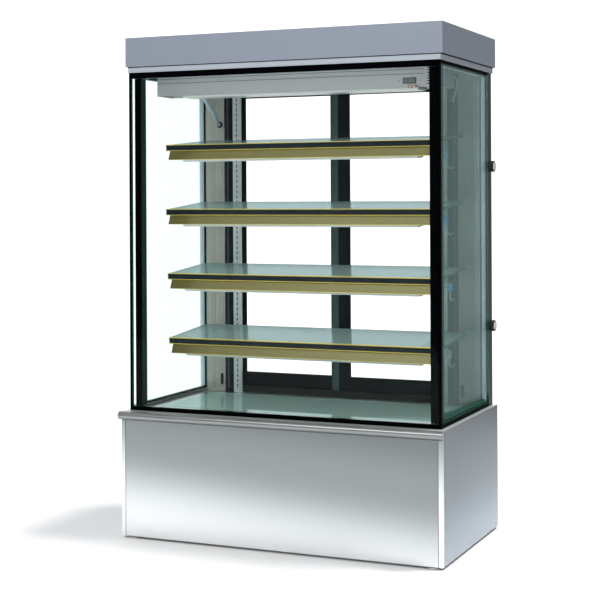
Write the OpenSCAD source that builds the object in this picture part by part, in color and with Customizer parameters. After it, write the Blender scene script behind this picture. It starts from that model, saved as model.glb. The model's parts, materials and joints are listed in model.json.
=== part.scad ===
// Refrigerated bakery display case: a glazed cabinet with four sloping lit shelves
// on a stainless machine base, closed behind by two sliding glass doors.
// X runs along the front, Y runs from front to back and Z runs up.
// The origin is on the floor, under the middle of the overall box.

/* [Overall] */
// Width of the base body
body_w = 1200; // [1196:1:1204]
// Front face of the base, as a distance in front of the origin
front_y = 310; // [306:1:314]
// Rear face of the base, as a distance behind the origin
rear_y = 322; // [318:1:324]
// Height of the base, floor to worktop
base_h = 450; // [448:1:452]
// Overall height
total_h = 1780; // [1760:5:1800]
// Thickness of the sheet steel panels
sheet = 1.5; // [1.2:0.1:1.6]
// Clear height under the base frame
foot_gap = 8; // [7:0.5:9]

/* [Cabinet] */
// Outer width over the side glass
cab_w = 1170; // [1166:1:1172]
// Front face of the cabinet, in front of the origin
cab_front = 274; // [272:1:275]
// Rear face of the cabinet, behind the origin
cab_rear = 311; // [309:1:313]
// Top of the glazed cabinet
cab_top = 1655; // [1653:1:1657]
// Height of the black bottom rail
low_rail_h = 15; // [13:1:17]
// Height of the black top rail across the front
top_rail_h = 21; // [19:1:22]
// Height of the header canopy
canopy_h = 104; // [100:1:110]

/* [Shelves] */
// Length of each glass shelf
shelf_w = 1060; // [1056:2:1064]
// Depth of each glass shelf, along its slope
shelf_d = 291; // [285:1:293]
// Slope of the shelves, rising to the rear
shelf_slope = 5.2; // [4.8:0.1:5.4]
// Front edge of the shelves, in front of the origin
shelf_front = 69; // [66:1:71]
// Height of the lowest shelf at its front edge
shelf_low_z = 690; // [688:1:692]
// Distance between slots in the uprights
slot_pitch = 19.8; // [19.6:0.05:20]
// Slots from one shelf to the next
slots_per_shelf = 12; // [12]

/* [Doors] */
// Width of each sliding door
door_w = 452; // [450:1:454]
// Width of the door stiles
stile_w = 42; // [40:1:44]
// Thickness of the door frames
door_t = 12; // [11:0.5:12.5]

/* [Machine] */
// Radius of the condenser fan
cond_fan_r = 74; // [68:1:76]
// Radius of the evaporator fan
evap_fan_r = 62; // [56:1:64]
// Radius of the compressor shell
comp_r = 82; // [76:1:84]

/* [Hidden] */
$fn = 48;

half_w = body_w / 2;
cab_x = cab_w / 2;
// Hairline between neighbouring profiles
seam = 0.2;
// Play of a shaft in its bore
play = 0.05;

// Base frame of square tube
tube = 30;
tube_wall = 2;
frame_x = half_w - 2;
frame_y0 = -front_y + 4;
frame_y1 = rear_y - 2;
frame_top = base_h - sheet - seam;
foot_x = 560;
foot_stud_r = 5;
foot_pad_r = 18;
foot_pad_h = 6;
strip_front = 15;
strip_side = 17;
bull_r = 14;
bull_over = 5;

// Insulated tank under the deck
tank_x = 500;
tank_y = 228;
tank_wall = 34;
tank_skin = 1.5;
tank_z0 = 230;
tank_floor = 40;

// Fans: the condenser fan turns about Y, the evaporator fan about X
cond_x = -100;
cond_z = 130;
cond_y = 230;
evap_x = 104;
evap_z = 350;
shaft_r = 4;
hub_r = 22;
motor_r = 34;
fan_depth = 22;

// Compressor place
comp_x = 330;
comp_y = 90;

// Rear controls
switch_z = 384;
switch_x = [-430, -376];
rocker_w = 19;
rocker_h = 25;
rocker_tilt = 7;
bezel_w = 28;
bezel_h = 34;
pivot_r = 1.5;
pivot_y = rear_y + 0.5;
inlet_x = -403;
inlet_z = 84;

// Cabinet glazing
pane = 6;
front_pane = 10;
glass_z0 = base_h + low_rail_h + seam;
side_top = cab_top - 12;
post_x0 = 544;
post_x1 = 569;
post_y0 = -cab_front + 12;
post_y1 = post_y0 + 36;
rear_post_y = 268;
rear_post_x = 561;
inner_pane_x = 561;
spacer_w = 12;
bar_h = 4;
edge_w = 8;

// Interior columns, jambs and slotted uprights
column_x0 = 476.2;
column_x1 = 557;
column_y = 253;
deck_x = column_x1 - seam;
jamb_x0 = 436;
upright_x0 = 404;
upright_x1 = 435.6;
upright_x = (upright_x0 + upright_x1) / 2;
upright_y = 246;
slot_w = 4.4;
slot_h = 12;

// Sliding doors in two tracks
door_x = 448;
door_z0 = 467;
door_z1 = 1633;
track_y = [272, 287];
track_gap = 0.5;
sill_top = 476;
head_low = 1625;
rail_low = 58;
rail_top = 36;
pull_z = 1000;
pull_h = 120;
pull_w = 22;
pull_d = 6;

// How far each loose shelf, with its lamp, sits left of the middle, from the top down
shelf_shift = [22, 23, 17, 13];

// Lamps under the shelf fronts
lamp_x = 516;
diffuser_x = 458;
lamp_wall = 2;
tube_r = 8;
bracket_t = 3.6;
rail_face = 3;

// Lamp leads and their plugs, placed from each shelf's front edge
plug_x = [478, 494];
plug_y = [100, 116];
plug_z = [-54, -24];
plug_shift = [8, 9, -6, -1];
lead_r = 3.2;
conduit_r = 8;
flex_r = 4;

// Ceiling light
light_x0 = -553;
light_x1 = 553;
light_bay = 481;
light_y0 = -128;
light_y1 = -20;
light_z0 = 1579;
light_line_z = 1625;
lcd_x = 428;
lcd_z = 1602;
lcd_w = 48;
lcd_h = 20;

// Thumb knobs on the right rear post
knob_r = 20;
knob_y = 280.6;
knob_z = [1316, 740];
knob_x = cab_x + 3;
knob_t = 16;
stem_r = 5;

function shelf_z(n) = shelf_low_z + (4 - n) * slots_per_shelf * slot_pitch;

// A box given by its limits along X, Y and Z
module span(x, y, z) {
    translate([x[0], y[0], z[0]])
        cube([x[1] - x[0], y[1] - y[0], z[1] - z[0]]);
}

// The children and their mirror image on the left
module both_sides() {
    children();
    mirror([1, 0, 0])
        children();
}

// A bar along X whose outline is drawn in Y and Z
module bar_x(x0, x1) {
    translate([x0, 0, 0])
        rotate([90, 0, 90])
            linear_extrude(x1 - x0)
                children();
}

// The shelf's own frame: its origin is on the shelf's front top edge
module at_shelf(n) {
    translate([-shelf_shift[n - 1], -shelf_front, shelf_z(n)])
        rotate([shelf_slope, 0, 0])
            children();
}

// A round pipe along straight runs with brazed ball corners
module pipe(points, r) {
    for (i = [0 : len(points) - 2]) {
        run = points[i + 1] - points[i];
        length = norm(run);
        translate(points[i])
            rotate([0, acos(run[2] / length), atan2(run[1], run[0])])
                cylinder(h = length, r = r);
        if (i > 0)
            translate(points[i])
                sphere(r = r + 0.7);
    }
}

// Catmull-Rom curve through the points of a route
function spline_at(p, i, t) =
    let (a = p[max(i - 1, 0)], b = p[i], c = p[i + 1], d = p[min(i + 2, len(p) - 1)])
    0.5 * (2 * b + (c - a) * t + (2 * a - 5 * b + 4 * c - d) * t * t
        + (3 * b - a - 3 * c + d) * t * t * t);
function route_curve(p, steps) = [
    for (i = [0 : len(p) - 2]) for (k = [0 : steps - 1]) spline_at(p, i, k / steps),
    p[len(p) - 1]];
function unit(v) = v / norm(v);
function heading(c, i) = unit(c[min(i + 1, len(c) - 1)] - c[max(i - 1, 0)]);
function side_of(h) = unit(cross(h, abs(h[2]) > 0.9 ? [0, 1, 0] : [0, 0, 1]));

// A flexible lead swept along a route
module lead(points, r, sides, steps) {
    curve = route_curve(points, steps);
    rings = len(curve);
    shell = [
        for (i = [0 : rings - 1])
            let (h = heading(curve, i), u = side_of(h), v = cross(h, u))
            for (k = [0 : sides - 1])
                curve[i] + r * (u * cos(360 * k / sides) + v * sin(360 * k / sides))];
    walls = [
        for (i = [0 : rings - 2]) for (k = [0 : sides - 1])
            let (next = (k + 1) % sides)
            [i * sides + k, (i + 1) * sides + k, (i + 1) * sides + next, i * sides + next]];
    start_cap = [for (k = [0 : sides - 1]) k];
    end_cap = [for (k = [sides - 1 : -1 : 0]) (rings - 1) * sides + k];
    polyhedron(points = shell, faces = concat(walls, [start_cap], [end_cap]), convexity = 6);
}

// ---------- Base ----------

// A square tube given by its limits, with its wall on each axis, or -1 where it is open
module square_tube(x, y, z, wall) {
    difference() {
        span(x, y, z);
        span([x[0] + wall[0], x[1] - wall[0]], [y[0] + wall[1], y[1] - wall[1]],
            [z[0] + wall[2], z[1] - wall[2]]);
    }
}

module base_frame() {
    color("dimgray")
        difference() {
            union() {
                for (y = [[frame_y0, frame_y0 + tube], [frame_y1 - tube, frame_y1]])
                    for (z = [[foot_gap, foot_gap + tube], [frame_top - tube, frame_top]])
                        square_tube([-frame_x, frame_x], y, z, [-1, tube_wall, tube_wall]);
                both_sides() {
                    for (z = [[foot_gap, foot_gap + tube], [frame_top - tube, frame_top]])
                        square_tube([frame_x - tube, frame_x],
                            [frame_y0 + tube + seam, frame_y1 - tube - seam], z,
                            [tube_wall, -1, tube_wall]);
                    for (y = [[frame_y0, frame_y0 + tube], [frame_y1 - tube, frame_y1]])
                        square_tube([frame_x - tube, frame_x], y,
                            [foot_gap + tube + seam, frame_top - tube - seam],
                            [tube_wall, tube_wall, -1]);
                }
            }
            for (x = [-foot_x, foot_x])
                for (y = [frame_y0 + tube / 2, frame_y1 - tube / 2])
                    translate([x, y, foot_gap - 1])
                        cylinder(h = tube + 2, r = foot_stud_r + play);
        }
}

module levelling_feet() {
    color("silver")
        for (x = [-foot_x, foot_x])
            for (y = [frame_y0 + tube / 2, frame_y1 - tube / 2])
                translate([x, y, 0]) {
                    cylinder(h = foot_pad_h, r = foot_pad_r);
                    cylinder(h = foot_gap + tube + 16, r = foot_stud_r);
                }
}

module floor_pan() {
    pan_x = frame_x - tube - 1;
    pan_z = foot_gap + tube + seam;
    color("silver")
        difference() {
            span([-pan_x, pan_x], [frame_y0 + 1, frame_y1 - 1], [pan_z, pan_z + sheet]);
            for (x = [-foot_x, foot_x])
                for (y = [frame_y0 + tube / 2, frame_y1 - tube / 2])
                    translate([x, y, pan_z - 1])
                        cylinder(h = sheet + 2, r = foot_stud_r + 3);
        }
}

module front_panel() {
    x = half_w - strip_front - 0.6;
    z = [foot_gap + 1, base_h - 3];
    hem = 9;
    color("gainsboro")
        difference() {
            span([-x, x], [-front_y, -front_y + 3.4], z);
            span([-x + hem, x - hem], [-front_y + sheet, -front_y + 5], [z[0] + hem, z[1] - hem]);
        }
}

module corner_strips() {
    color("whitesmoke")
        both_sides()
            translate([0, 0, foot_gap + 0.5])
                linear_extrude(frame_top - foot_gap - 0.5)
                    polygon([[half_w - strip_front, -front_y], [half_w, -front_y],
                        [half_w, -front_y + strip_side], [half_w - sheet, -front_y + strip_side],
                        [half_w - sheet, -front_y + sheet], [half_w - strip_front, -front_y + sheet]]);
}

module side_panels() {
    color("gainsboro")
        both_sides()
            span([half_w - sheet, half_w], [-front_y + strip_side + 0.6, rear_y],
                [foot_gap + 0.5, frame_top]);
}

module rear_grille() {
    x = half_w - sheet - seam;
    slot = [92, 8];
    color("gainsboro")
        translate([0, rear_y, 0])
            rotate([90, 0, 0])
                linear_extrude(sheet)
                    difference() {
                        translate([-x, foot_gap + 0.5])
                            square([2 * x, frame_top - foot_gap - 0.5]);
                        for (column = [0 : 3])
                            for (row = [0 : 9])
                                translate([-280 + column * 112, 56 + row * 18])
                                    square(slot);
                        for (column = [0 : 1])
                            for (row = [0 : 9])
                                translate([250 + column * 112, 56 + row * 18])
                                    square(slot);
                        for (sx = switch_x)
                            translate([sx - bezel_w / 2 - 0.3, switch_z - bezel_h / 2 - 0.3])
                                square([bezel_w + 0.6, bezel_h + 0.6]);
                        translate([inlet_x - 25, inlet_z - 15])
                            square([50, 30]);
                    }
}

module worktop() {
    color("whitesmoke")
        difference() {
            span([-half_w, half_w], [-front_y, rear_y], [base_h - sheet, base_h]);
            span([-tank_x, tank_x], [-tank_y, tank_y], [base_h - 5, base_h + 5]);
        }
}

module bullnose() {
    centre_y = -front_y - 6;
    color("whitesmoke")
        bar_x(-half_w - bull_over, half_w + bull_over)
            intersection() {
                union() {
                    translate([centre_y, base_h - bull_r])
                        circle(r = bull_r);
                    translate([centre_y, base_h - 2 * bull_r])
                        square(2 * bull_r);
                }
                translate([-front_y - seam - 3 * bull_r, base_h - 3 * bull_r])
                    square([3 * bull_r, 4 * bull_r]);
            }
}

module insulated_tank() {
    top = base_h - sheet - seam;
    gap_x = tank_x + tank_wall - tank_skin;
    gap_y = tank_y + tank_wall - tank_skin;
    color("lightgray")
        difference() {
            span([-tank_x - tank_wall, tank_x + tank_wall],
                [-tank_y - tank_wall, tank_y + tank_wall], [tank_z0, top]);
            span([-tank_x, tank_x], [-tank_y, tank_y], [tank_z0 + tank_floor, top + 1]);
            difference() {
                span([-gap_x, gap_x], [-gap_y, gap_y], [tank_z0 + tank_skin, top - tank_skin]);
                span([-tank_x - tank_skin, tank_x + tank_skin],
                    [-tank_y - tank_skin, tank_y + tank_skin],
                    [tank_z0 + tank_floor - tank_skin, top]);
            }
            translate([-420, 0, tank_z0 - 1])
                cylinder(h = tank_floor + 2, r = 10.3);
            for (x = [-60, 30])
                translate([x, tank_y - 1, 330])
                    rotate([-90, 0, 0])
                        cylinder(h = tank_wall + 2, r = 5.5);
        }
}

// A finned coil block with its tubes along X
module finned_coil(x, y, z, fins, rows) {
    plate = 2;
    step = (x[1] - x[0] - plate) / (fins - 1);
    for (i = [0 : fins - 1])
        span([x[0] + i * step, x[0] + i * step + plate], y, z);
    for (row = [0 : rows - 1])
        for (yy = [y[0] + 12, y[1] - 12])
            translate([x[0] - 8, yy, z[0] + (row + 0.5) * (z[1] - z[0]) / rows])
                rotate([0, 90, 0])
                    cylinder(h = x[1] - x[0] + 16, r = 4.5);
    for (x_end = [x[0] - 12, x[1] + 6])
        for (row = [0 : rows - 1])
            span([x_end, x_end + 6], [y[0] + 7, y[1] - 7],
                let (mid = z[0] + (row + 0.5) * (z[1] - z[0]) / rows) [mid - 5, mid + 5]);
}

module evaporator_coil() {
    color("lightsteelblue")
        finned_coil([-380, 60], [-60, 60], [282, 392], 28, 4);
}

module condenser_coil() {
    color("darkslategray")
        finned_coil([-270, 70], [256, 300], [46, 216], 24, 5);
}

// An axial fan standing on the XY plane, turning about Z
module axial_fan(r, bore_r) {
    difference() {
        union() {
            cylinder(h = fan_depth, r = hub_r);
            intersection() {
                for (i = [0 : 4])
                    rotate([0, 0, 72 * i])
                        translate([hub_r - 4, 0, fan_depth / 2])
                            rotate([28, 0, 0])
                                translate([0, -19, -1])
                                    cube([r, 38, 2]);
                cylinder(h = fan_depth, r = r);
            }
        }
        translate([0, 0, -1])
            cylinder(h = fan_depth + 2, r = bore_r);
    }
}

// Shroud plate, motor and shaft of an axial fan; the fan stands on the XY plane
module fan_mount(r, plate, hole_r, motor_h) {
    difference() {
        translate([-plate[0] / 2, -plate[1] / 2, -5])
            cube([plate[0], plate[1], 3]);
        translate([0, 0, -6])
            cylinder(h = 5, r = hole_r);
    }
    for (a = [45 : 90 : 315])
        rotate([0, 0, a]) {
            translate([motor_r - 4, -4, fan_depth + 6])
                cube([r + 8 - motor_r, 8, 3]);
            translate([r, -4, -3])
                cube([4, 8, fan_depth + 12]);
        }
    translate([0, 0, fan_depth + 2])
        cylinder(h = motor_h, r = motor_r);
    translate([0, 0, 4])
        cylinder(h = fan_depth, r = shaft_r);
}

module on_condenser_axis() {
    translate([cond_x, cond_y, cond_z])
        rotate([90, 0, 0])
            children();
}

module on_evaporator_axis() {
    translate([evap_x, 0, evap_z])
        rotate([0, 90, 0])
            children();
}

module condenser_fan() {
    color("darkgray")
        on_condenser_axis()
            axial_fan(cond_fan_r, shaft_r + play);
}

module condenser_shroud() {
    color("black")
        on_condenser_axis()
            fan_mount(cond_fan_r + 4, [200, 172], cond_fan_r + 3, 52);
}

module evaporator_fan() {
    color("darkgray")
        on_evaporator_axis()
            axial_fan(evap_fan_r, shaft_r + play);
}

module evaporator_motor() {
    color("silver")
        on_evaporator_axis()
            fan_mount(evap_fan_r + 4, [156, 180], evap_fan_r + 3, 40);
}

module compressor() {
    base_z = foot_gap + tube + sheet + 2 * seam;
    color("black")
        translate([comp_x, comp_y, base_z]) {
            difference() {
                translate([-105, -70, 12])
                    cube([210, 140, 4]);
                for (x = [-92, 92])
                    for (y = [-57, 57])
                        translate([x, y, 0])
                            cylinder(h = 20, r = 4);
            }
            for (x = [-92, 92])
                for (y = [-57, 57])
                    translate([x, y, 0])
                        difference() {
                            cylinder(h = 11.8, r = 11);
                            translate([0, 0, -1])
                                cylinder(h = 14, r = 4);
                        }
            translate([0, 0, 15])
                cylinder(h = 95, r = comp_r);
            intersection() {
                translate([0, 0, 110])
                    sphere(r = comp_r);
                translate([0, 0, 110])
                    cylinder(h = 62, r = comp_r + 1);
            }
            translate([-25, -comp_r - 26, 50])
                cube([50, 32, 60]);
        }
}

module copper_pipes() {
    r = 4;
    shell_top = foot_gap + tube + sheet + 2 * seam + 172;
    low_z = tank_z0 - 9;
    high_z = tank_z0 + 4;
    coil_end = 82.2;
    behind = tank_y + tank_wall + 14;
    color("peru") {
        pipe([[comp_x - 20, comp_y, shell_top], [comp_x - 20, comp_y, low_z],
            [comp_x - 20, behind, low_z], [150, behind, low_z], [150, behind, 70],
            [coil_end, behind, 70]], r);
        pipe([[coil_end, behind + 12, 196], [120, behind + 12, 196], [120, behind + 12, 330],
            [30, behind + 12, 330], [30, 60.2, 330]], r);
        pipe([[-60, 60.2, 330], [-60, behind, 330], [-60, behind, high_z],
            [comp_x + 20, behind, high_z], [comp_x + 20, behind, low_z],
            [comp_x + 20, comp_y, low_z], [comp_x + 20, comp_y, shell_top]], r);
    }
}

module drain_tray() {
    z0 = foot_gap + tube + sheet + 2 * seam;
    color("dimgray")
        difference() {
            span([-520, -320], [-110, 110], [z0, z0 + 40]);
            span([-516, -324], [-106, 106], [z0 + 3, z0 + 41]);
        }
}

module drain_pipe() {
    color("whitesmoke")
        translate([-420, 0, 0])
            difference() {
                union() {
                    translate([0, 0, 62])
                        cylinder(h = tank_z0 + tank_floor - 62, r = 10);
                    translate([0, 0, tank_z0 + tank_floor])
                        cylinder(h = 2, r = 18);
                }
                translate([0, 0, 60])
                    cylinder(h = tank_z0 + tank_floor, r = 8);
            }
}

module control_box() {
    color("gainsboro")
        difference() {
            union() {
                span([-475, -330], [tank_y + tank_wall + 4, rear_y - sheet - seam],
                    [320, frame_top - tube - 1]);
                for (sx = switch_x)
                    span([sx - bezel_w / 2, sx + bezel_w / 2], [rear_y - 3, rear_y + 3],
                        [switch_z - bezel_h / 2, switch_z + bezel_h / 2]);
            }
            for (sx = switch_x) {
                span([sx - rocker_w / 2 - 0.5, sx + rocker_w / 2 + 0.5], [rear_y - 14, rear_y + 4],
                    [switch_z - rocker_h / 2 - 1.5, switch_z + rocker_h / 2 + 1.5]);
                translate([sx - 12, pivot_y, switch_z])
                    rotate([0, 90, 0])
                        cylinder(h = 24, r = pivot_r + play);
            }
        }
}

module rocker(sx) {
    translate([sx, pivot_y, switch_z])
        rotate([rocker_tilt, 0, 0]) {
            bar_x(-rocker_w / 2, rocker_w / 2)
                polygon([[-6, -6], [-6, 6], [2, rocker_h / 2], [4, rocker_h / 2 - 1],
                    [2, 0], [4, 1 - rocker_h / 2], [2, -rocker_h / 2]]);
            translate([-11.5, 0, 0])
                rotate([0, 90, 0])
                    cylinder(h = 23, r = pivot_r);
        }
}

module power_switch() {
    color("red")
        rocker(switch_x[0]);
}

module light_switch() {
    color("black")
        rocker(switch_x[1]);
}

module power_inlet() {
    color("black") {
        difference() {
            union() {
                span([inlet_x - 24.5, inlet_x + 24.5], [rear_y - 24, rear_y + 1],
                    [inlet_z - 14.5, inlet_z + 14.5]);
                span([inlet_x - 32, inlet_x + 32], [rear_y + seam, rear_y + 3],
                    [inlet_z - 17, inlet_z + 17]);
            }
            span([inlet_x - 12, inlet_x + 12], [rear_y - 18, rear_y + 4],
                [inlet_z - 8.5, inlet_z + 8.5]);
        }
        for (dx = [-7, 0, 7])
            span([inlet_x + dx - 1, inlet_x + dx + 1], [rear_y - 19, rear_y - 6],
                let (dz = dx == 0 ? 2 : -2) [inlet_z + dz - 2.5, inlet_z + dz + 2.5]);
    }
}

// ---------- Deck and cabinet frame ----------

module deck_frame() {
    z = [base_h + seam, base_h + 4];
    slot_count = 10;
    color("silver") {
        difference() {
            union() {
                span([-deck_x, deck_x], [-cab_front + 12, -187], z);
                span([-deck_x, deck_x], [205, upright_y - 0.4], z);
            }
            for (i = [0 : slot_count - 1])
                for (y = [[-224, -210], [212, 222]])
                    span([-475 + i * 98, -407 + i * 98], y, [base_h - 1, base_h + 6]);
        }
        both_sides()
            span([508, deck_x], [-187 + seam, 205 - seam], z);
    }
}

module deck_glass() {
    color("mediumaquamarine", 0.6)
        span([-507.6, 507.6], [-186.6, 204.6], [base_h + seam, base_h + 4.4]);
}

module glazing_rails() {
    y_front = [-cab_front - 1, post_y0 - 0.4];
    y_side = [post_y0 - 0.2, rear_post_y - seam];
    color("black") {
        span([-cab_x, cab_x], y_front, [base_h, base_h + low_rail_h]);
        span([-cab_x, cab_x], y_front, [cab_top - top_rail_h, cab_top]);
        both_sides() {
            span([column_x1 + seam, cab_x], y_side, [base_h, base_h + low_rail_h]);
            span([559, cab_x], y_side, [side_top + seam, cab_top]);
        }
    }
}

module front_posts() {
    z = [glass_z0, cab_top - top_rail_h - seam];
    color("black")
        both_sides() {
            span([post_x0, post_x1], [post_y0, post_y1], z);
            span([cab_x - edge_w, cab_x], [-cab_front - 1, post_y0 - 0.4], z);
        }
}

module front_glass() {
    color("azure", 0.2)
        span([-cab_x + edge_w + seam, cab_x - edge_w - seam],
            [-cab_front, -cab_front + front_pane], [glass_z0, cab_top - top_rail_h - seam]);
}

// One double glazed side, drawn on the right
module side_glass() {
    z = [glass_z0, side_top];
    span([cab_x - pane, cab_x], [post_y0 - 0.2, rear_post_y - seam], z);
    span([inner_pane_x, inner_pane_x + pane], [post_y1 + seam, rear_post_y - seam], z);
}

module side_glass_right() {
    color("cadetblue", 0.3)
        side_glass();
}

module side_glass_left() {
    color("cadetblue", 0.3)
        mirror([1, 0, 0])
            side_glass();
}

module edge_spacers() {
    x = [inner_pane_x + pane + seam, cab_x - pane - seam];
    x_front = [post_x1 + seam, x[1]];
    y = [post_y1 - spacer_w - 2, post_y1 - 2];
    rear = [rear_post_y - spacer_w - seam, rear_post_y - seam];
    color("dimgray")
        both_sides() {
            span(x_front, y, [glass_z0, side_top]);
            span(x, rear, [glass_z0, side_top]);
            for (z = [glass_z0, side_top - bar_h])
                span(x, [post_y1 + seam, rear[0] - seam], [z, z + bar_h]);
        }
}

module rear_frame() {
    y = [262, cab_rear];
    x = jamb_x0 - seam;
    color("black")
        difference() {
            union() {
                both_sides()
                    span([rear_post_x, cab_x], [rear_post_y, cab_rear], [base_h, cab_top]);
                span([-x, x], y, [base_h, sill_top]);
                span([-x, x], y, [head_low, cab_top]);
            }
            for (ty = track_y) {
                span([-x - 1, x + 1], [ty - track_gap, ty + door_t + track_gap],
                    [door_z0 - 1, sill_top + 1]);
                span([-x - 1, x + 1], [ty - track_gap, ty + door_t + track_gap],
                    [head_low - 1, door_z1 + 4]);
            }
            for (kz = knob_z)
                translate([cab_x - 20, knob_y, kz])
                    rotate([0, 90, 0])
                        cylinder(h = 21, r = stem_r + play);
        }
}

module inner_columns() {
    wall = 2;
    fold = 1.4;
    color("silver")
        both_sides()
            translate([0, 0, base_h + seam])
                linear_extrude(cab_top - base_h - 2 * seam)
                    difference() {
                        translate([column_x0, column_y])
                            square([column_x1 - column_x0, cab_rear - column_y]);
                        translate([column_x0 + wall, column_y + wall])
                            square([column_x1 - column_x0 - 2 * wall, cab_rear - column_y - 2 * wall]);
                        for (x = [column_x0 + 5, column_x0 + 40, column_x0 + 53])
                            translate([x, column_y - 1])
                                square([fold, 2]);
                    }
}

module slotted_uprights() {
    wall = 1.5;
    depth = 12;
    z0 = base_h + seam;
    z1 = cab_top - seam;
    count = floor((z1 - z0 - 60) / slot_pitch);
    slot_z = shelf_z(4) - 5 * slot_pitch;
    first = slot_z - floor((slot_z - z0 - 20) / slot_pitch) * slot_pitch;
    color("lightgray")
        both_sides() {
            translate([0, upright_y + wall, 0])
                rotate([90, 0, 0])
                    linear_extrude(wall)
                        difference() {
                            translate([upright_x0, z0])
                                square([upright_x1 - upright_x0, z1 - z0]);
                            for (i = [0 : count - 1])
                                translate([upright_x - slot_w / 2, first + i * slot_pitch])
                                    square([slot_w, slot_h]);
                        }
            for (x = [upright_x0, upright_x1 - wall])
                span([x, x + wall], [upright_y + wall, upright_y + depth], [z0, z1]);
        }
}

module door_jambs() {
    round_r = 6;
    z0 = base_h + seam;
    color("black")
        both_sides()
            translate([0, 0, z0])
                linear_extrude(cab_top - seam - z0)
                    difference() {
                        union() {
                            translate([jamb_x0 + round_r, column_y + round_r])
                                circle(r = round_r);
                            translate([column_x0 - seam - round_r, column_y + round_r])
                                circle(r = round_r);
                            translate([jamb_x0 + round_r, column_y])
                                square([column_x0 - seam - jamb_x0 - 2 * round_r, 2 * round_r]);
                            translate([jamb_x0, column_y + round_r])
                                square([column_x0 - seam - jamb_x0, cab_rear - column_y - round_r]);
                        }
                        translate([jamb_x0 - 1, track_y[0] - 1.5])
                            square([door_x + 3 - jamb_x0, track_y[1] + door_t - track_y[0] + 3]);
                    }
}

// ---------- Shelves and lamps ----------

module shelf_glass(n) {
    color("lightcyan", 0.4)
        at_shelf(n)
            span([-shelf_w / 2, shelf_w / 2], [4, shelf_d], [-8, 0]);
}

module price_rail(n) {
    color("goldenrod")
        at_shelf(n)
            bar_x(-shelf_w / 2, shelf_w / 2)
                difference() {
                    union() {
                        translate([-rail_face, -22])
                            square([rail_face + 3.8, 23.5]);
                        translate([3, 0.2])
                            square([6, 1.3]);
                        translate([3, -10.4])
                            square([11, 2.2]);
                    }
                    translate([-rail_face - 1, -19.8])
                        square([2.4, 19]);
                }
}

// A point given in a shelf's own frame, as its Y and its height over the shelf's front edge
function on_slope(y, z) = [y * cos(shelf_slope) - z * sin(shelf_slope) - shelf_front,
    y * sin(shelf_slope) + z * cos(shelf_slope)];

module shelf_brackets() {
    rear = upright_y - 0.3;
    color("silver")
        for (n = [1 : 4])
            both_sides()
                translate([upright_x - bracket_t / 2, 0, shelf_z(n)])
                    rotate([90, 0, 90])
                        linear_extrude(bracket_t) {
                            polygon([on_slope(62.5, -8.4), on_slope(62.5, -34), on_slope(90, -34),
                                [rear - 8, -40], [rear, -40], [rear, 18], on_slope(shelf_d + 19, -8.4)]);
                            for (slot = [-2, 0])
                                translate([rear - 1, slot * slot_pitch + 0.7])
                                    square([5, slot_h - 1.4]);
                        }
}

module lamp_housings() {
    color("darkkhaki")
        for (n = [1 : 4])
            at_shelf(n) {
                bar_x(-lamp_x, lamp_x)
                    difference() {
                        polygon([[3, -23], [14, -23], [18, -12.5], [62, -12.5], [62, -54], [-13, -54]]);
                        polygon([[5, -25], [13, -25], [20, -15], [60, -15], [60, -56], [-12, -56]]);
                    }
                for (x = [-lamp_x, lamp_x - lamp_wall])
                    bar_x(x, x + lamp_wall)
                        polygon([[3, -23], [14, -23], [18, -12.5], [62, -12.5], [62, -54], [-13, -54]]);
                both_sides()
                    span([diffuser_x + 2, lamp_x - 1], [-11, 61], [-54, -52]);
                both_sides()
                    span([442, 456], [17, 37], [-52, -15]);
            }
}

module lamp_tubes() {
    color("white") {
        for (n = [1 : 4])
            at_shelf(n)
                translate([-441.6, 27, -38])
                    rotate([0, 90, 0])
                        cylinder(h = 883.2, r = tube_r);
        translate([-429.6, (light_y0 + light_y1) / 2, 1606])
            rotate([0, 90, 0])
                cylinder(h = 859.2, r = tube_r);
    }
}

module lamp_diffusers() {
    color("mintcream")
        for (n = [1 : 4])
            at_shelf(n)
                bar_x(-diffuser_x, diffuser_x)
                    polygon([[-9, -54.2], [57, -54.2], [50, -63], [-2, -63]]);
    color("mintcream")
        bar_x(-diffuser_x + 5, diffuser_x - 5)
            polygon([[light_y0 + 6, light_z0 - seam], [light_y1 - 6, light_z0 - seam],
                [light_y1 - 12, light_z0 - 7], [light_y0 + 12, light_z0 - 7]]);
}

// Leads run from each lamp's right end to its plug, then hang into the right jamb
grommet_x = 463;
grommet_z = -92;
function lead_front(shift, plug) = [[518.6 - shift, -36, -37], [527 - shift, -28, -36],
    [523 - shift, 0, -36], [508 - shift * 0.6, 40, -37], [492 - plug, 75, -38],
    [486 - plug, 92, -39], [486 - plug, 99.3, -39]];
function lead_rear(plug) = [[486 - plug, 108, -55.1], [486 - plug, 111, -64],
    [481 - plug * 0.6, 132, -82], [474 - plug * 0.3, 172, -93], [466, 210, -95],
    [grommet_x, 236, grommet_z], [grommet_x, 251.9, grommet_z]];
conduit_left = [[-438, -18.9, 1592], [-438, -2, 1591], [-444, 34, 1577], [-458, 90, 1556],
    [-474, 160, 1531], [-488, 210, 1509], [-496, 234, 1495], [-496, 251.9, 1492]];
conduit_right = [[468, -19.1, 1640], [470, -2, 1640], [478, 80, 1642], [481, 170, 1641],
    [481, 222, 1632], [479, 238, 1614], [474, 240, 1590], [467, 238, 1568],
    [grommet_x, 240, 1556], [grommet_x, 252.3, 1554]];

module lamp_leads() {
    color("lightsteelblue") {
        for (n = [1 : 4])
            translate([0, 0, shelf_z(n)]) {
                lead(lead_front(shelf_shift[n - 1], plug_shift[n - 1]), lead_r, 8, 3);
                lead(lead_rear(plug_shift[n - 1]), lead_r, 8, 3);
            }
        lead(conduit_left, conduit_r, 10, 2);
        lead(conduit_right, flex_r, 10, 2);
    }
}

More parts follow.
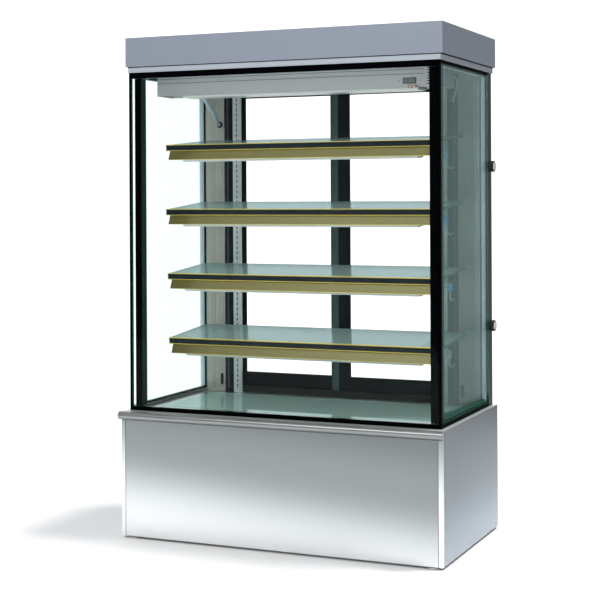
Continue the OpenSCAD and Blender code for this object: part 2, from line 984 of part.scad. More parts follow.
module lamp_connectors() {
    color("dodgerblue")
        for (n = [1 : 4])
            translate([0, 0, shelf_z(n)]) {
                translate([-plug_shift[n - 1], 0, 0])
                    span(plug_x, plug_y, plug_z);
                translate([grommet_x, column_y - 0.1, grommet_z])
                    rotate([90, 0, 0])
                        difference() {
                            cylinder(h = 3, r = 6.6);
                            translate([0, 0, -1])
                                cylinder(h = 5, r = lead_r + 1);
                        }
            }
}

module ceiling_light() {
    wall = 2;
    z = [light_z0, cab_top - seam];
    color("lightgray") {
        difference() {
            span([light_x0, light_bay], [light_y0, light_y1], z);
            span([light_x0 + wall, light_bay - wall], [light_y0 + wall, light_y1 - wall],
                [z[0] - 1, z[1] - wall]);
            for (line = [light_line_z, light_line_z + 16])
                span([light_x0 - 1, light_bay + 1], [light_y0 - 1, light_y0 + 0.8],
                    [line - 0.7, line + 0.7]);
            span([lcd_x - lcd_w / 2 + 3, lcd_x + lcd_w / 2 - 3], [light_y0 - 1, light_y0 + 3],
                [lcd_z - lcd_h / 2 + 2, lcd_z + lcd_h / 2 - 2]);
        }
        both_sides()
            span([430, 444], [-88, -60], [1588, z[1] - 1]);
        difference() {
            span([light_bay + seam, light_x1], [light_y0, light_y1], z);
            span([light_bay + 3, light_x1 - wall], [light_y0 + wall, light_y1 - wall],
                [z[0] + wall, z[1] + 1]);
            for (i = [0 : 6])
                span([light_bay + 10, light_x1 - 10], [light_y0 - 1, light_y0 + wall + 1],
                    [z[0] + 10 + i * 9, z[0] + 14 + i * 9]);
        }
    }
}

module thermometer() {
    color("darkseagreen") {
        span([lcd_x - lcd_w / 2, lcd_x + lcd_w / 2], [light_y0 - 2, light_y0 - seam],
            [lcd_z - lcd_h / 2, lcd_z + lcd_h / 2]);
        span([lcd_x - lcd_w / 2 + 3.5, lcd_x + lcd_w / 2 - 3.5], [light_y0 - 1, light_y0 + 14],
            [lcd_z - lcd_h / 2 + 2.5, lcd_z + lcd_h / 2 - 2.5]);
    }
}

// ---------- Rear doors ----------

// A door frame of four profiles; x is its left edge and ty its front face
module door_frame(x, ty, pull_side) {
    y = [ty, ty + door_t];
    pull_x = x + (pull_side > 0 ? door_w - stile_w / 2 : stile_w / 2);
    difference() {
        for (sx = [x, x + door_w - stile_w])
            span([sx, sx + stile_w], y, [door_z0, door_z1]);
        span([pull_x - pull_w / 2, pull_x + pull_w / 2], [ty + door_t - pull_d, ty + door_t + 1],
            [pull_z, pull_z + pull_h]);
    }
    for (z = [[door_z0, door_z0 + rail_low], [door_z1 - rail_top, door_z1]])
        span([x + stile_w + seam, x + door_w - stile_w - seam], y, z);
}

module door_pane(x, ty) {
    span([x + stile_w + seam, x + door_w - stile_w - seam], [ty + 3.5, ty + 8.5],
        [door_z0 + rail_low + seam, door_z1 - rail_top - seam]);
}

module door_left_frame() {
    color("black")
        door_frame(-door_x, track_y[1], -1);
}

module door_left_glass() {
    color("azure", 0.2)
        door_pane(-door_x, track_y[1]);
}

module door_right_frame() {
    color("black")
        door_frame(door_x - door_w, track_y[0], 1);
}

module door_right_glass() {
    color("azure", 0.2)
        door_pane(door_x - door_w, track_y[0]);
}

// ---------- Top and knobs ----------

module top_panel() {
    x = cab_x + 3;
    y = [-cab_front - 1.5, cab_rear + 11];
    z = [cab_top + seam, total_h - canopy_h - seam];
    color("lightsteelblue")
        difference() {
            span([-x, x], y, z);
            span([-x + sheet, x - sheet], [y[0] + sheet, y[1] - sheet], [z[0] + sheet, z[1] + 1]);
        }
}

module canopy() {
    x = half_w - 4;
    y = [-cab_front - 6, rear_y + 8];
    z = [total_h - canopy_h, total_h];
    wall = 2;
    color("lightsteelblue")
        difference() {
            span([-x, x], y, z);
            span([-x + wall, x - wall], [y[0] + wall, y[1] - wall], [z[0] - 1, z[1] - wall]);
        }
}

module knob(kz) {
    color("black")
        translate([0, knob_y, kz])
            rotate([0, 90, 0]) {
                translate([0, 0, cab_x - 17])
                    cylinder(h = knob_x - cab_x + 18, r = stem_r);
                translate([0, 0, cab_x + 0.4])
                    cylinder(h = 3, r = 9);
                translate([0, 0, knob_x])
                    difference() {
                        cylinder(h = knob_t, r = knob_r);
                        for (i = [0 : 11])
                            rotate([0, 0, 30 * i])
                                translate([knob_r + 1.6, 0, -1])
                                    cylinder(h = knob_t + 2, r = 3, $fn = 24);
                    }
            }
}

module knob_upper() {
    knob(knob_z[0]);
}

module knob_lower() {
    knob(knob_z[1]);
}

base_frame();
floor_pan();
front_panel();
corner_strips();
side_panels();
rear_grille();
worktop();
bullnose();
insulated_tank();
evaporator_coil();
evaporator_fan();
evaporator_motor();
compressor();
condenser_coil();
condenser_fan();
condenser_shroud();
copper_pipes();
drain_tray();
drain_pipe();
control_box();
power_inlet();
power_switch();
light_switch();
levelling_feet();
deck_frame();
deck_glass();
glazing_rails();
front_posts();
rear_frame();
front_glass();
side_glass_left();
side_glass_right();
edge_spacers();
inner_columns();
slotted_uprights();
door_jambs();
shelf_glass(1);  // shelf_glass_1
shelf_glass(2);  // shelf_glass_2
shelf_glass(3);  // shelf_glass_3
shelf_glass(4);  // shelf_glass_4
price_rail(1);  // price_rail_1
price_rail(2);  // price_rail_2
price_rail(3);  // price_rail_3
price_rail(4);  // price_rail_4
shelf_brackets();
lamp_housings();
lamp_tubes();
lamp_diffusers();
lamp_leads();
lamp_connectors();
door_left_frame();
door_left_glass();
door_right_frame();
door_right_glass();
ceiling_light();
thermometer();
top_panel();
canopy();
knob_upper();
knob_lower();
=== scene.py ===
"""Looks of the refrigerated bakery display case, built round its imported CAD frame.
Lengths are in metres: X to the right as seen from the front, Y to the back and Z up."""
import json
import math

import bmesh
import bpy
from mathutils import Matrix, Vector


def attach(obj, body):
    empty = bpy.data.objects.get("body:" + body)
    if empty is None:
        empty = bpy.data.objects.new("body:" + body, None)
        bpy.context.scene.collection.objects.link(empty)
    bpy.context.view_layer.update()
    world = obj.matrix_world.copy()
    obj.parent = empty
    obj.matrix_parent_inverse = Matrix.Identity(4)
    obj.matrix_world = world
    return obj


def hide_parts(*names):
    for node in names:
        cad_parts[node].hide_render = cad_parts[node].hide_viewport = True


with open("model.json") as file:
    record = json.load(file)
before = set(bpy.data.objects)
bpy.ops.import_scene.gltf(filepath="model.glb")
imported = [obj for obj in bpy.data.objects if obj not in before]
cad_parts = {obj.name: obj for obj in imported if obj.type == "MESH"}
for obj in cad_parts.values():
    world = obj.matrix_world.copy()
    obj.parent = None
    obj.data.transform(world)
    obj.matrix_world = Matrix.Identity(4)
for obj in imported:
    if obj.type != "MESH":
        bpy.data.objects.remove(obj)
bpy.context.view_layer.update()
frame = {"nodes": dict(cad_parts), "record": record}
NODES = frame["nodes"]


def corners(name):
    """The low and the high corner of a CAD node."""
    node = NODES[name]
    points = [node.matrix_world @ vertex.co for vertex in node.data.vertices]
    return [Vector([pick(point[i] for point in points) for i in range(3)]) for pick in (min, max)]


# ---------- Places and sizes ----------

# Faces of the CAD that the finer pieces sit on
COLUMN_FACE = corners("inner_columns")[0].y
FRAME_BACK = corners("rear_frame")[1].y
BASE_BACK = corners("rear_grille")[1].y
BASE_SIDE = corners("side_panels")[1].x
PANEL_FACE = corners("front_panel")[0].y
PANEL_EDGE = corners("front_panel")[1].x
CANOPY_SIDE, CANOPY_BACK = corners("canopy")[1].xy
LIGHT_LOW = corners("ceiling_light")[0]
LCD_LOW, LCD_HIGH = corners("thermometer")
# How far a screw's seat stands off its face
SEAT = 0.0001
# Where the dark strips that run up the columns begin and end
STRIP_START, STRIP_END = 0.467, 1.654

# Slope of the shelves and the height of each shelf's front edge
SHELVES = (1, 2, 3, 4)
SHELF_SLOPE = math.radians(5.2)
SHELF_FRONT = -0.069
SHELF_Z = {1: 1.4028, 2: 1.1652, 3: 0.9276, 4: 0.690}
HALF_SHELF = 0.530
# How far each loose shelf and its lamp sit left of the middle
SHELF_SHIFT = {1: 0.022, 2: 0.023, 3: 0.017, 4: 0.013}
# How far each lamp's plug sits left of its usual place
PLUG_SHIFT = {1: 0.008, 2: 0.009, 3: -0.006, 4: -0.001}
# The usual place of a plug, its drop below the shelf's front edge, and its lead's hole
PLUG_X, PLUG_Y, PLUG_DROP = 0.486, 0.108, 0.039
HOLE_X, HOLE_DROP = 0.463, 0.092


# ---------- Node helpers ----------

# How much the painted reflection on the base's steel climbs from left to right
FOOT_LEAN = 0.19


def new_material(name):
    """An empty node material, with its tree and output node."""
    material = bpy.data.materials.new(name)
    material.use_nodes = True
    tree = material.node_tree
    tree.nodes.clear()
    return material, tree, tree.nodes.new("ShaderNodeOutputMaterial")


def feed(tree, value, socket):
    """Gives a socket a number, a colour or a vector, or links another socket to it."""
    if isinstance(value, tuple):
        socket.default_value = (*value, 1)[:len(socket.default_value)]
    elif isinstance(value, (int, float)):
        socket.default_value = value
    else:
        tree.links.new(value, socket)


def add_node(tree, kind, inputs):
    """Adds a node and feeds its inputs, each given by its name or number."""
    node = tree.nodes.new(kind)
    for socket, value in inputs.items():
        feed(tree, value, node.inputs[socket])
    return node


def object_coordinates(tree, scale=(1, 1, 1)):
    """Object coordinates stretched by scale, as a vector socket."""
    place = tree.nodes.new("ShaderNodeTexCoord").outputs["Object"]
    return add_node(tree, "ShaderNodeMapping", {"Vector": place, "Scale": scale}).outputs[0]


def part_of(tree, vector, axis):
    """One part of a vector socket, along a named axis."""
    return add_node(tree, "ShaderNodeSeparateXYZ", {0: vector}).outputs[axis]


def noise(tree, vector, scale, detail=3.0):
    """A noise texture's value socket."""
    node = add_node(tree, "ShaderNodeTexNoise",
                    {"Vector": vector, "Scale": scale, "Detail": detail, "Roughness": 0.55})
    return node.outputs["Fac"]


def remap(tree, value, low, high, start=0.0, end=1.0):
    """A value socket running from low to high as value runs from start to end."""
    node = add_node(tree, "ShaderNodeMapRange", {"Value": value, "From Min": start,
                    "From Max": end, "To Min": low, "To Max": high})
    return node.outputs["Result"]


def mix_colours(tree, factor, first, second, blend="MIX"):
    """A colour socket that blends two colours by a factor."""
    node = tree.nodes.new("ShaderNodeMix")
    node.data_type = "RGBA"
    node.blend_type = blend
    feed(tree, factor, node.inputs[0])
    feed(tree, first, node.inputs[6])
    feed(tree, second, node.inputs[7])
    return node.outputs[2]


def mix_shaders(tree, factor, first, second):
    """A shader socket that goes from the first to the second shader as factor grows."""
    return add_node(tree, "ShaderNodeMixShader", {0: factor, 1: first, 2: second}).outputs[0]


def math_node(tree, operation, first, second):
    """The result of a maths operation on two sockets or numbers."""
    node = add_node(tree, "ShaderNodeMath", {0: first, 1: second})
    node.operation = operation
    return node.outputs[0]


def bump(tree, height, strength, distance):
    """A normal socket raised by height."""
    node = add_node(tree, "ShaderNodeBump",
                    {"Height": height, "Strength": strength, "Distance": distance})
    return node.outputs["Normal"]


def paint_light_by_height(tree, colour, foot, lean, top):
    """Multiplies a colour by painted light and shade that run from the floor up to a height,
    such as a painted reflection of the bright floor on polished sheet. The painted light
    climbs to one side by lean."""
    place = object_coordinates(tree)
    sideways = math_node(tree, "MULTIPLY", part_of(tree, place, "X"), lean)
    rise = remap(tree, part_of(tree, place, "Z"), 0.0, 1.0, 0.0, top)
    ramp = add_node(tree, "ShaderNodeValToRGB", {0: math_node(tree, "ADD", rise, sideways)})
    ramp.color_ramp.interpolation = "B_SPLINE"
    stops = ramp.color_ramp.elements
    stops[0].color = (*foot[0], 1)
    stops[1].color = (*foot[-1], 1)
    for step, shade in enumerate(foot[1:-1], 1):
        stops.new(step / (len(foot) - 1)).color = (*shade, 1)
    return mix_colours(tree, 1.0, colour, ramp.outputs[0], "MULTIPLY")


# ---------- Kinds of material ----------

def surface(name, dark, light, metallic, rough, grain=(1, 1, 1), grain_scale=60.0,
            bump_strength=0.05, bump_distance=0.0005, coat=0.0, specular=0.5,
            foot=None, lean=FOOT_LEAN, foot_top=0.45):
    """A Principled material that wanders between a dark and a light shade by two layers of
    noise. The fine layer is stretched along the grain and gives the relief, and moves the
    roughness through the rough range. foot paints light and shade that change with height,
    such as a reflection of the bright floor."""
    material, tree, output = new_material(name)
    fine = noise(tree, object_coordinates(tree, grain), grain_scale, 4.0)
    broad = noise(tree, object_coordinates(tree), 3.0, 2.0)
    blend = math_node(tree, "ADD", remap(tree, fine, 0.0, 0.6), remap(tree, broad, 0.0, 0.4))
    colour = mix_colours(tree, blend, dark, light)
    if foot:
        colour = paint_light_by_height(tree, colour, foot, lean, foot_top)
    shader = add_node(tree, "ShaderNodeBsdfPrincipled", {
        "Base Color": colour, "Roughness": remap(tree, fine, *rough),
        "Normal": bump(tree, fine, bump_strength, bump_distance), "Metallic": metallic,
        "Specular IOR Level": specular, "Coat Weight": coat, "Coat Roughness": 0.08})
    tree.links.new(shader.outputs[0], output.inputs["Surface"])
    return material


def glass_body(tree, smudge, tint, smear, body, body_share):
    """Clear tinted glass with faint smears, and a share of a coated surface's own colour."""
    smeared = tuple(level * (1 - smear) for level in tint)
    clear = add_node(tree, "ShaderNodeBsdfTransparent",
                     {"Color": mix_colours(tree, smudge, smeared, tint)})
    if not body:
        return clear.outputs[0]
    milk = add_node(tree, "ShaderNodeBsdfDiffuse", {"Color": body})
    return mix_shaders(tree, body_share, clear.outputs[0], milk.outputs[0])


def glass_gloss(tree, coordinates, reflect, clear_foot):
    """The share of light that a pane's face reflects, which grows at a glancing angle."""
    weight = add_node(tree, "ShaderNodeLayerWeight", {"Blend": 0.5})
    glance = math_node(tree, "POWER", weight.outputs["Facing"], 5.0)
    share = remap(tree, glance, reflect[0], reflect[0] + reflect[1])
    if clear_foot:
        fade = remap(tree, part_of(tree, coordinates, "Z"), 0.0, 1.0, *clear_foot)
        share = math_node(tree, "MULTIPLY", share, fade)
    return share


def ground_edge(tree, coordinates, edge):
    """The dark green shader of a pane's ground edges."""
    grind = noise(tree, coordinates, 220.0)
    lighter = tuple(min(1.0, level * 1.7) for level in edge)
    return add_node(tree, "ShaderNodeBsdfPrincipled", {
        "Base Color": mix_colours(tree, grind, edge, lighter),
        "Roughness": remap(tree, grind, 0.12, 0.3)}).outputs[0]


def pane(name, axis, tint, gloss, reflect=(0.006, 0.5), edge=(0.01, 0.09, 0.07), smear=0.01,
         body=None, body_share=0.0, rough=0.01, clear_foot=None):
    """A glass pane facing along axis: clear faces under a gloss, and ground edges. body adds
    a coated surface's colour. clear_foot gives two heights between which the gloss fades in."""
    material, tree, output = new_material(name)
    coordinates = object_coordinates(tree)
    smudge = noise(tree, coordinates, 5.0)
    glossy = add_node(tree, "ShaderNodeBsdfGlossy",
                      {"Color": gloss, "Roughness": remap(tree, smudge, rough, rough * 3)})
    face = mix_shaders(tree, glass_gloss(tree, coordinates, reflect, clear_foot),
                       glass_body(tree, smudge, tint, smear, body, body_share),
                       glossy.outputs[0])
    normal = part_of(tree, tree.nodes.new("ShaderNodeTexCoord").outputs["Normal"], axis)
    facing = math_node(tree, "GREATER_THAN", math_node(tree, "ABSOLUTE", normal, 0.0), 0.7)
    whole = mix_shaders(tree, facing, ground_edge(tree, coordinates, edge), face)
    tree.links.new(whole, output.inputs["Surface"])
    return material


def ribbed(name, dark, light, metallic, rough, axis_scale, strength):
    """A surface with fine parallel ribs, from a wave texture along the scaled axis."""
    material, tree, output = new_material(name)
    wave = add_node(tree, "ShaderNodeTexWave", {
        "Vector": object_coordinates(tree, axis_scale), "Scale": 1.0, "Distortion": 0.0})
    ribs = wave.outputs["Fac"]
    grit = noise(tree, object_coordinates(tree), 160.0)
    blend = math_node(tree, "MULTIPLY", ribs, remap(tree, grit, 0.7, 1.0))
    shader = add_node(tree, "ShaderNodeBsdfPrincipled", {
        "Base Color": mix_colours(tree, blend, dark, light), "Metallic": metallic,
        "Roughness": remap(tree, grit, *rough), "Normal": bump(tree, ribs, strength, 0.0008)})
    tree.links.new(shader.outputs[0], output.inputs["Surface"])
    return material


# ---------- Materials ----------

# How the fine noise is stretched: up the case, along it, or not at all
UP = (1, 1, 0.02)
ALONG = (0.02, 1, 1)
EVEN = (1, 1, 1)
# Painted light from the floor up: a painted reflection of the bright floor on the front
# sheet, the side sheets and the corners, and painted shade on the doors' bottom rails
STEEL_PAINTED_REFLECTION = ((1.0, 1.0, 1.0), (0.78, 0.81, 0.82), (0.28, 0.305, 0.31), (0.32, 0.345, 0.345),
              (0.19, 0.21, 0.21))
SIDE_PAINTED_REFLECTION = ((1.0, 1.0, 1.0), (0.76, 0.80, 0.83), (0.38, 0.42, 0.44), (0.31, 0.34, 0.35),
             (0.25, 0.272, 0.28))
DOOR_PAINTED_SHADE = ((0.2, 0.2, 0.2),) * 4 + ((1.0, 1.0, 1.0),)
STRIP_PAINTED_REFLECTION = ((1.0, 1.0, 1.0), (1.0, 1.0, 1.0), (1.0, 1.0, 1.0), (0.52, 0.56, 0.57),
              (0.26, 0.29, 0.29))

# Materials of the record's slots
MATERIALS = {
    # Its foot paints a reflection of the bright floor: light at the bottom, darker higher up
    "stainless": surface(
        "stainless_sheet", (0.90, 0.91, 0.92), (0.97, 0.98, 0.99), 0.9, (0.26, 0.36),
        UP, 240, 0.04, 0.0003, foot=STEEL_PAINTED_REFLECTION),
    "worktop_steel": surface(
        "worktop_polish", (0.68, 0.72, 0.69), (0.78, 0.82, 0.79), 0.5, (0.24, 0.34),
        ALONG, 260, 0.01, 0.0001),
    # Its foot paints a reflection of the bright floor: light on the lower half, darker towards the
    # top
    "bright_strip": surface(
        "bright_strip_polish", (0.95, 0.96, 0.96), (0.99, 0.99, 0.99), 0.5, (0.30, 0.38),
        UP, 200, 0.02, 0.0002, foot=STRIP_PAINTED_REFLECTION, lean=0.0),
    "deck_steel": surface(
        "deck_satin", (0.66, 0.74, 0.72), (0.78, 0.86, 0.84), 1.0, (0.24, 0.34),
        ALONG, 240, 0.04, 0.0003),
    "column_steel": surface(
        "column_satin", (0.44, 0.44, 0.39), (0.53, 0.53, 0.48), 0.35, (0.36, 0.48),
        UP, 200, 0.04, 0.0003),
    "upright_steel": surface(
        "upright_zinc", (0.70, 0.74, 0.75), (0.80, 0.84, 0.85), 0.3, (0.34, 0.46),
        UP, 180, 0.05, 0.0003),
    "tank_liner": surface(
        "tank_satin", (0.50, 0.52, 0.53), (0.62, 0.64, 0.65), 0.9, (0.3, 0.42),
        ALONG, 180, 0.05, 0.0004),
    "zinc_steel": surface(
        "zinc_plate", (0.46, 0.47, 0.47), (0.62, 0.62, 0.60), 0.8, (0.32, 0.48),
        EVEN, 70, 0.08, 0.0004),
    "frame_steel": surface(
        "frame_powder_coat", (0.16, 0.165, 0.17), (0.21, 0.215, 0.22), 0.0, (0.5, 0.65),
        EVEN, 900, 0.2, 0.0003),
    "canopy_steel": surface(
        "canopy_paint", (0.235, 0.265, 0.325), (0.265, 0.30, 0.365), 0.2, (0.38, 0.48),
        ALONG, 260, 0.04, 0.0002),
    "canopy_trim": surface(
        "canopy_trim_paint", (0.38, 0.42, 0.47), (0.44, 0.48, 0.54), 0.2, (0.36, 0.46),
        ALONG, 260, 0.04, 0.0002),
    "lamp_body": surface(
        "lamp_body_paint", (0.46, 0.485, 0.50), (0.52, 0.545, 0.56), 0.2, (0.38, 0.5),
        ALONG, 220, 0.05, 0.0003),
    "black_profile": surface(
        "black_anodised", (0.0002, 0.0003, 0.0004), (0.0008, 0.0011, 0.0013), 0.0, (0.45, 0.55),
        UP, 220, 0.05, 0.0003, specular=0.01),
    "gold_rail": surface(
        "gold_anodised", (0.60, 0.50, 0.10), (0.72, 0.62, 0.15), 0.4, (0.30, 0.42),
        ALONG, 260, 0.03, 0.0002, specular=0.2),
    "gold_reflector": surface(
        "gold_reflector", (0.118, 0.108, 0.026), (0.158, 0.148, 0.040), 0.3, (0.30, 0.44),
        ALONG, 220, 0.05, 0.0003),
    "spacer_black": surface(
        "edge_sealant", (0.006, 0.03, 0.024), (0.010, 0.045, 0.036), 0.0, (0.5, 0.65),
        EVEN, 300, 0.1, 0.0003, specular=0.2),
    "coil_fins": surface(
        "coil_fins", (0.42, 0.46, 0.48), (0.60, 0.63, 0.64), 0.9, (0.34, 0.5),
        (1, 1, 0.2), 160, 0.1, 0.0004),
    "fan_plastic": surface(
        "fan_plastic", (0.02, 0.02, 0.022), (0.04, 0.04, 0.044), 0.0, (0.42, 0.55),
        EVEN, 500, 0.1, 0.0003),
    "black_enamel": surface(
        "black_enamel", (0.006, 0.006, 0.007), (0.016, 0.016, 0.018), 0.0, (0.18, 0.32),
        EVEN, 60, 0.05, 0.0004, coat=0.4),
    "copper": surface(
        "copper_tube", (0.44, 0.19, 0.09), (0.66, 0.33, 0.18), 1.0, (0.24, 0.42),
        EVEN, 50, 0.06, 0.0004),
    "dark_plastic": surface(
        "dark_plastic", (0.012, 0.012, 0.013), (0.03, 0.03, 0.032), 0.0, (0.4, 0.56),
        EVEN, 700, 0.15, 0.0002),
    "white_plastic": surface(
        "white_plastic", (0.60, 0.60, 0.57), (0.72, 0.72, 0.70), 0.0, (0.36, 0.5),
        EVEN, 400, 0.08, 0.0002),
    "red_plastic": surface(
        "red_rocker", (0.34, 0.012, 0.010), (0.46, 0.02, 0.016), 0.0, (0.2, 0.32),
        EVEN, 300, 0.05, 0.0002, coat=0.3),
    "lamp_white": surface(
        "lamp_tube_white", (0.84, 0.85, 0.82), (0.92, 0.93, 0.90), 0.0, (0.2, 0.3),
        EVEN, 120, 0.02, 0.0002),
    "opal_diffuser": surface(
        "opal_diffuser", (0.48, 0.55, 0.53), (0.56, 0.63, 0.61), 0.0, (0.28, 0.4),
        ALONG, 160, 0.03, 0.0002, coat=0.2),
    "lead_sleeve": surface(
        "lead_sleeve", (0.42, 0.55, 0.60), (0.54, 0.67, 0.72), 0.0, (0.35, 0.5),
        EVEN, 260, 0.1, 0.0003),
    "blue_plug": surface(
        "blue_plug", (0.12, 0.48, 0.92), (0.18, 0.60, 0.99), 0.0, (0.3, 0.45),
        EVEN, 300, 0.08, 0.0002),
    "lcd_bezel": surface(
        "thermometer_window", (0.09, 0.13, 0.12), (0.13, 0.18, 0.16), 0.0, (0.2, 0.3),
        EVEN, 200, 0.03, 0.0002, coat=0.5),
    "knob_black": surface(
        "knob_black", (0.006, 0.006, 0.007), (0.016, 0.016, 0.018), 0.0, (0.34, 0.5),
        EVEN, 600, 0.15, 0.0003, specular=0.3),
    "clear_glass": pane(
        "clear_glass", "Y", (0.994, 0.999, 0.997), (0.9, 1.0, 0.98), reflect=(0.003, 0.4)),
    "side_glass": pane(
        "side_glass", "X", (0.965, 0.985, 0.98), (0.80, 0.98, 0.95), reflect=(0.010, 0.5),
        edge=(0.02, 0.10, 0.085)),
    "shelf_glass": pane(
        "shelf_glass", "Z", (0.64, 0.72, 0.71), (0.76, 0.92, 0.95), reflect=(0.02, 0.55),
        edge=(0.05, 0.15, 0.10), body=(0.54, 0.70, 0.68), body_share=0.5),
    "deck_glass": pane(
        "deck_glass", "Z", (0.30, 0.42, 0.38), (0.70, 0.88, 0.88), reflect=(0.03, 0.9),
        edge=(0.03, 0.12, 0.09), body=(0.48, 0.68, 0.62), body_share=0.85, rough=0.02),
}

# Materials of the finer pieces
DARK_INSERT = surface(
    "rail_insert", (0.007, 0.013, 0.017), (0.013, 0.021, 0.027), 0.0, (0.36, 0.48),
    ALONG, 300, 0.04, 0.0002, specular=0.12)
SCREW_STEEL = surface(
    "screw_steel", (0.52, 0.54, 0.55), (0.68, 0.70, 0.70), 0.9, (0.2, 0.36),
    EVEN, 400, 0.06, 0.0002)
# Black rubber for gaskets, grommets and latches; also painted shadow in the seams of the base and
# canopy
RUBBER_AND_SHADE = surface(
    "rubber_seal_and_painted_shadow", (0.012, 0.013, 0.014), (0.024, 0.026, 0.028), 0.0, (0.6, 0.8),
    EVEN, 500, 0.2, 0.0003, specular=0.2)
BRUSH = ribbed(
    "brush_seal", (0.075, 0.12, 0.12), (0.17, 0.25, 0.25), 0.0, (0.7, 0.9), (0, 0, 500), 0.4)
CREAM = surface(
    "cream_plug", (0.62, 0.58, 0.44), (0.74, 0.70, 0.56), 0.0, (0.34, 0.48),
    EVEN, 300, 0.08, 0.0002)
PALE_CAP = surface(
    "knob_cap", (0.70, 0.68, 0.69), (0.84, 0.82, 0.83), 0.2, (0.3, 0.42),
    EVEN, 200, 0.05, 0.0002)
ORANGE_WIRE = surface(
    "orange_wire", (0.60, 0.14, 0.03), (0.72, 0.20, 0.05), 0.0, (0.35, 0.5),
    EVEN, 300, 0.05, 0.0002)
BROWN_WIRE = surface(
    "brown_wire", (0.10, 0.035, 0.02), (0.16, 0.06, 0.03), 0.0, (0.35, 0.5),
    EVEN, 300, 0.05, 0.0002)
LCD_FACE = surface(
    "lcd_face", (0.16, 0.22, 0.19), (0.20, 0.27, 0.23), 0.0, (0.12, 0.2),
    EVEN, 300, 0.02, 0.0001, coat=0.6)
LCD_INK = surface(
    "lcd_ink", (0.01, 0.012, 0.012), (0.02, 0.024, 0.022), 0.0, (0.3, 0.4),
    EVEN, 300, 0.02, 0.0001)
CLEAR_STUD = surface(
    "clear_stud", (0.48, 0.58, 0.66), (0.66, 0.76, 0.84), 0.0, (0.1, 0.2),
    EVEN, 200, 0.02, 0.0001, coat=0.6)
GREEN_SEALANT = surface(
    "green_sealant", (0.002, 0.075, 0.050), (0.006, 0.11, 0.075), 0.0, (0.4, 0.55),
    EVEN, 260, 0.08, 0.0002, specular=0.2)
BRIGHT_BEAD = surface(
    "spacer_bead", (0.62, 0.74, 0.80), (0.74, 0.86, 0.92), 0.3, (0.24, 0.36),
    UP, 240, 0.04, 0.0002)
# Painted shade of the ceiling light's two folds
FOLD_SHADE = surface(
    "fold_shade", (0.16, 0.17, 0.18), (0.22, 0.235, 0.245), 0.2, (0.4, 0.5),
    ALONG, 220, 0.04, 0.0002)
# Painted shade: the dark inside of the ceiling light's bay
BAY_SHADE = surface(
    "bay_painted_shade", (0.004, 0.005, 0.005), (0.010, 0.011, 0.012), 0.0, (0.5, 0.7),
    EVEN, 600, 0.1, 0.0002, specular=0.2)
# Painted shade in the fine grooves up the columns
FLUTE_SHADE = surface(
    "flute_shade", (0.26, 0.27, 0.24), (0.34, 0.35, 0.32), 0.2, (0.4, 0.5),
    UP, 220, 0.05, 0.0002)
BORDER_INK = surface(
    "border_ink", (0.010, 0.014, 0.014), (0.018, 0.024, 0.024), 0.0, (0.4, 0.55),
    UP, 220, 0.05, 0.0002, specular=0.15)
RAIL_LINER = surface(
    "rail_liner", (0.20, 0.21, 0.20), (0.30, 0.31, 0.30), 0.4, (0.3, 0.42),
    ALONG, 220, 0.05, 0.0002)
# A painted highlight: a lighter strip on each jamb's rounded face
JAMB_HIGHLIGHT = surface(
    "jamb_painted_highlight", (0.05, 0.065, 0.068), (0.08, 0.10, 0.105), 0.0, (0.4, 0.5),
    UP, 220, 0.05, 0.0002, specular=0.2)

# Materials of nodes that share a slot but look different: lighter and darker copies of the
# slot's material, which paint light and shade, and a right side pane that reflects more,
# except at its foot
# A darker copy of the steel for the bullnose: painted shade that tones down its highlights
BULLNOSE_PAINTED_SHADE = surface(
    "bullnose_painted_shade", (0.25, 0.26, 0.26), (0.33, 0.34, 0.34), 0.75, (0.26, 0.36),
    ALONG, 260, 0.01, 0.0001)
# A copy of the stainless for the side panels, with its own painted light and shade for how light
# falls on the side; its foot paints a reflection of the bright floor
SIDE_STEEL_PAINTED_LIGHT = surface(
    "side_sheet_painted_light", (0.52, 0.565, 0.615), (0.62, 0.665, 0.715), 0.9, (0.28, 0.38),
    UP, 240, 0.04, 0.0003, foot=SIDE_PAINTED_REFLECTION)
# A lighter copy of the black anodised for the rear frame: painted light
REAR_BLACK_PAINTED_LIGHT = surface(
    "rear_anodised_painted_light", (0.010, 0.013, 0.013), (0.024, 0.029, 0.028), 0.0, (0.35, 0.45),
    UP, 220, 0.05, 0.0003, specular=0.3)
# A lighter copy of the black anodised for the door frames, painted light; its foot paints shade on
# their bottom rails
DOOR_BLACK_PAINTED_LIGHT = surface(
    "door_anodised_painted_light", (0.015, 0.021, 0.025), (0.021, 0.028, 0.032), 0.0, (0.45, 0.55),
    UP, 220, 0.05, 0.0003, specular=0.12, foot=DOOR_PAINTED_SHADE, lean=0.0, foot_top=0.62)
# A lighter copy of the black anodised for the door jambs: painted light
JAMB_BLACK_PAINTED_LIGHT = surface(
    "jamb_anodised_painted_light", (0.014, 0.020, 0.022), (0.020, 0.027, 0.029), 0.0, (0.45, 0.55),
    UP, 220, 0.05, 0.0003, specular=0.12)
RIGHT_PANE = pane(
    "right_side_glass", "X", (0.93, 0.955, 0.95), (0.74, 0.94, 0.92), smear=0.03,
    reflect=(0.10, 0.5), edge=(0.02, 0.10, 0.085), clear_foot=(0.485, 0.510))

OWN_LOOK = {"bullnose": BULLNOSE_PAINTED_SHADE, "side_panels": SIDE_STEEL_PAINTED_LIGHT, "door_jambs": JAMB_BLACK_PAINTED_LIGHT,
            "side_glass_right": RIGHT_PANE, "door_left_frame": DOOR_BLACK_PAINTED_LIGHT,
            "door_right_frame": DOOR_BLACK_PAINTED_LIGHT, "rear_frame": REAR_BLACK_PAINTED_LIGHT}
for row in frame["record"]["subparts"]:
    node_mesh = NODES[row["node"]].data
    node_mesh.materials.clear()
    node_mesh.materials.append(OWN_LOOK.get(row["node"], MATERIALS[row["material_slot"]]))


# ---------- Mesh helpers ----------

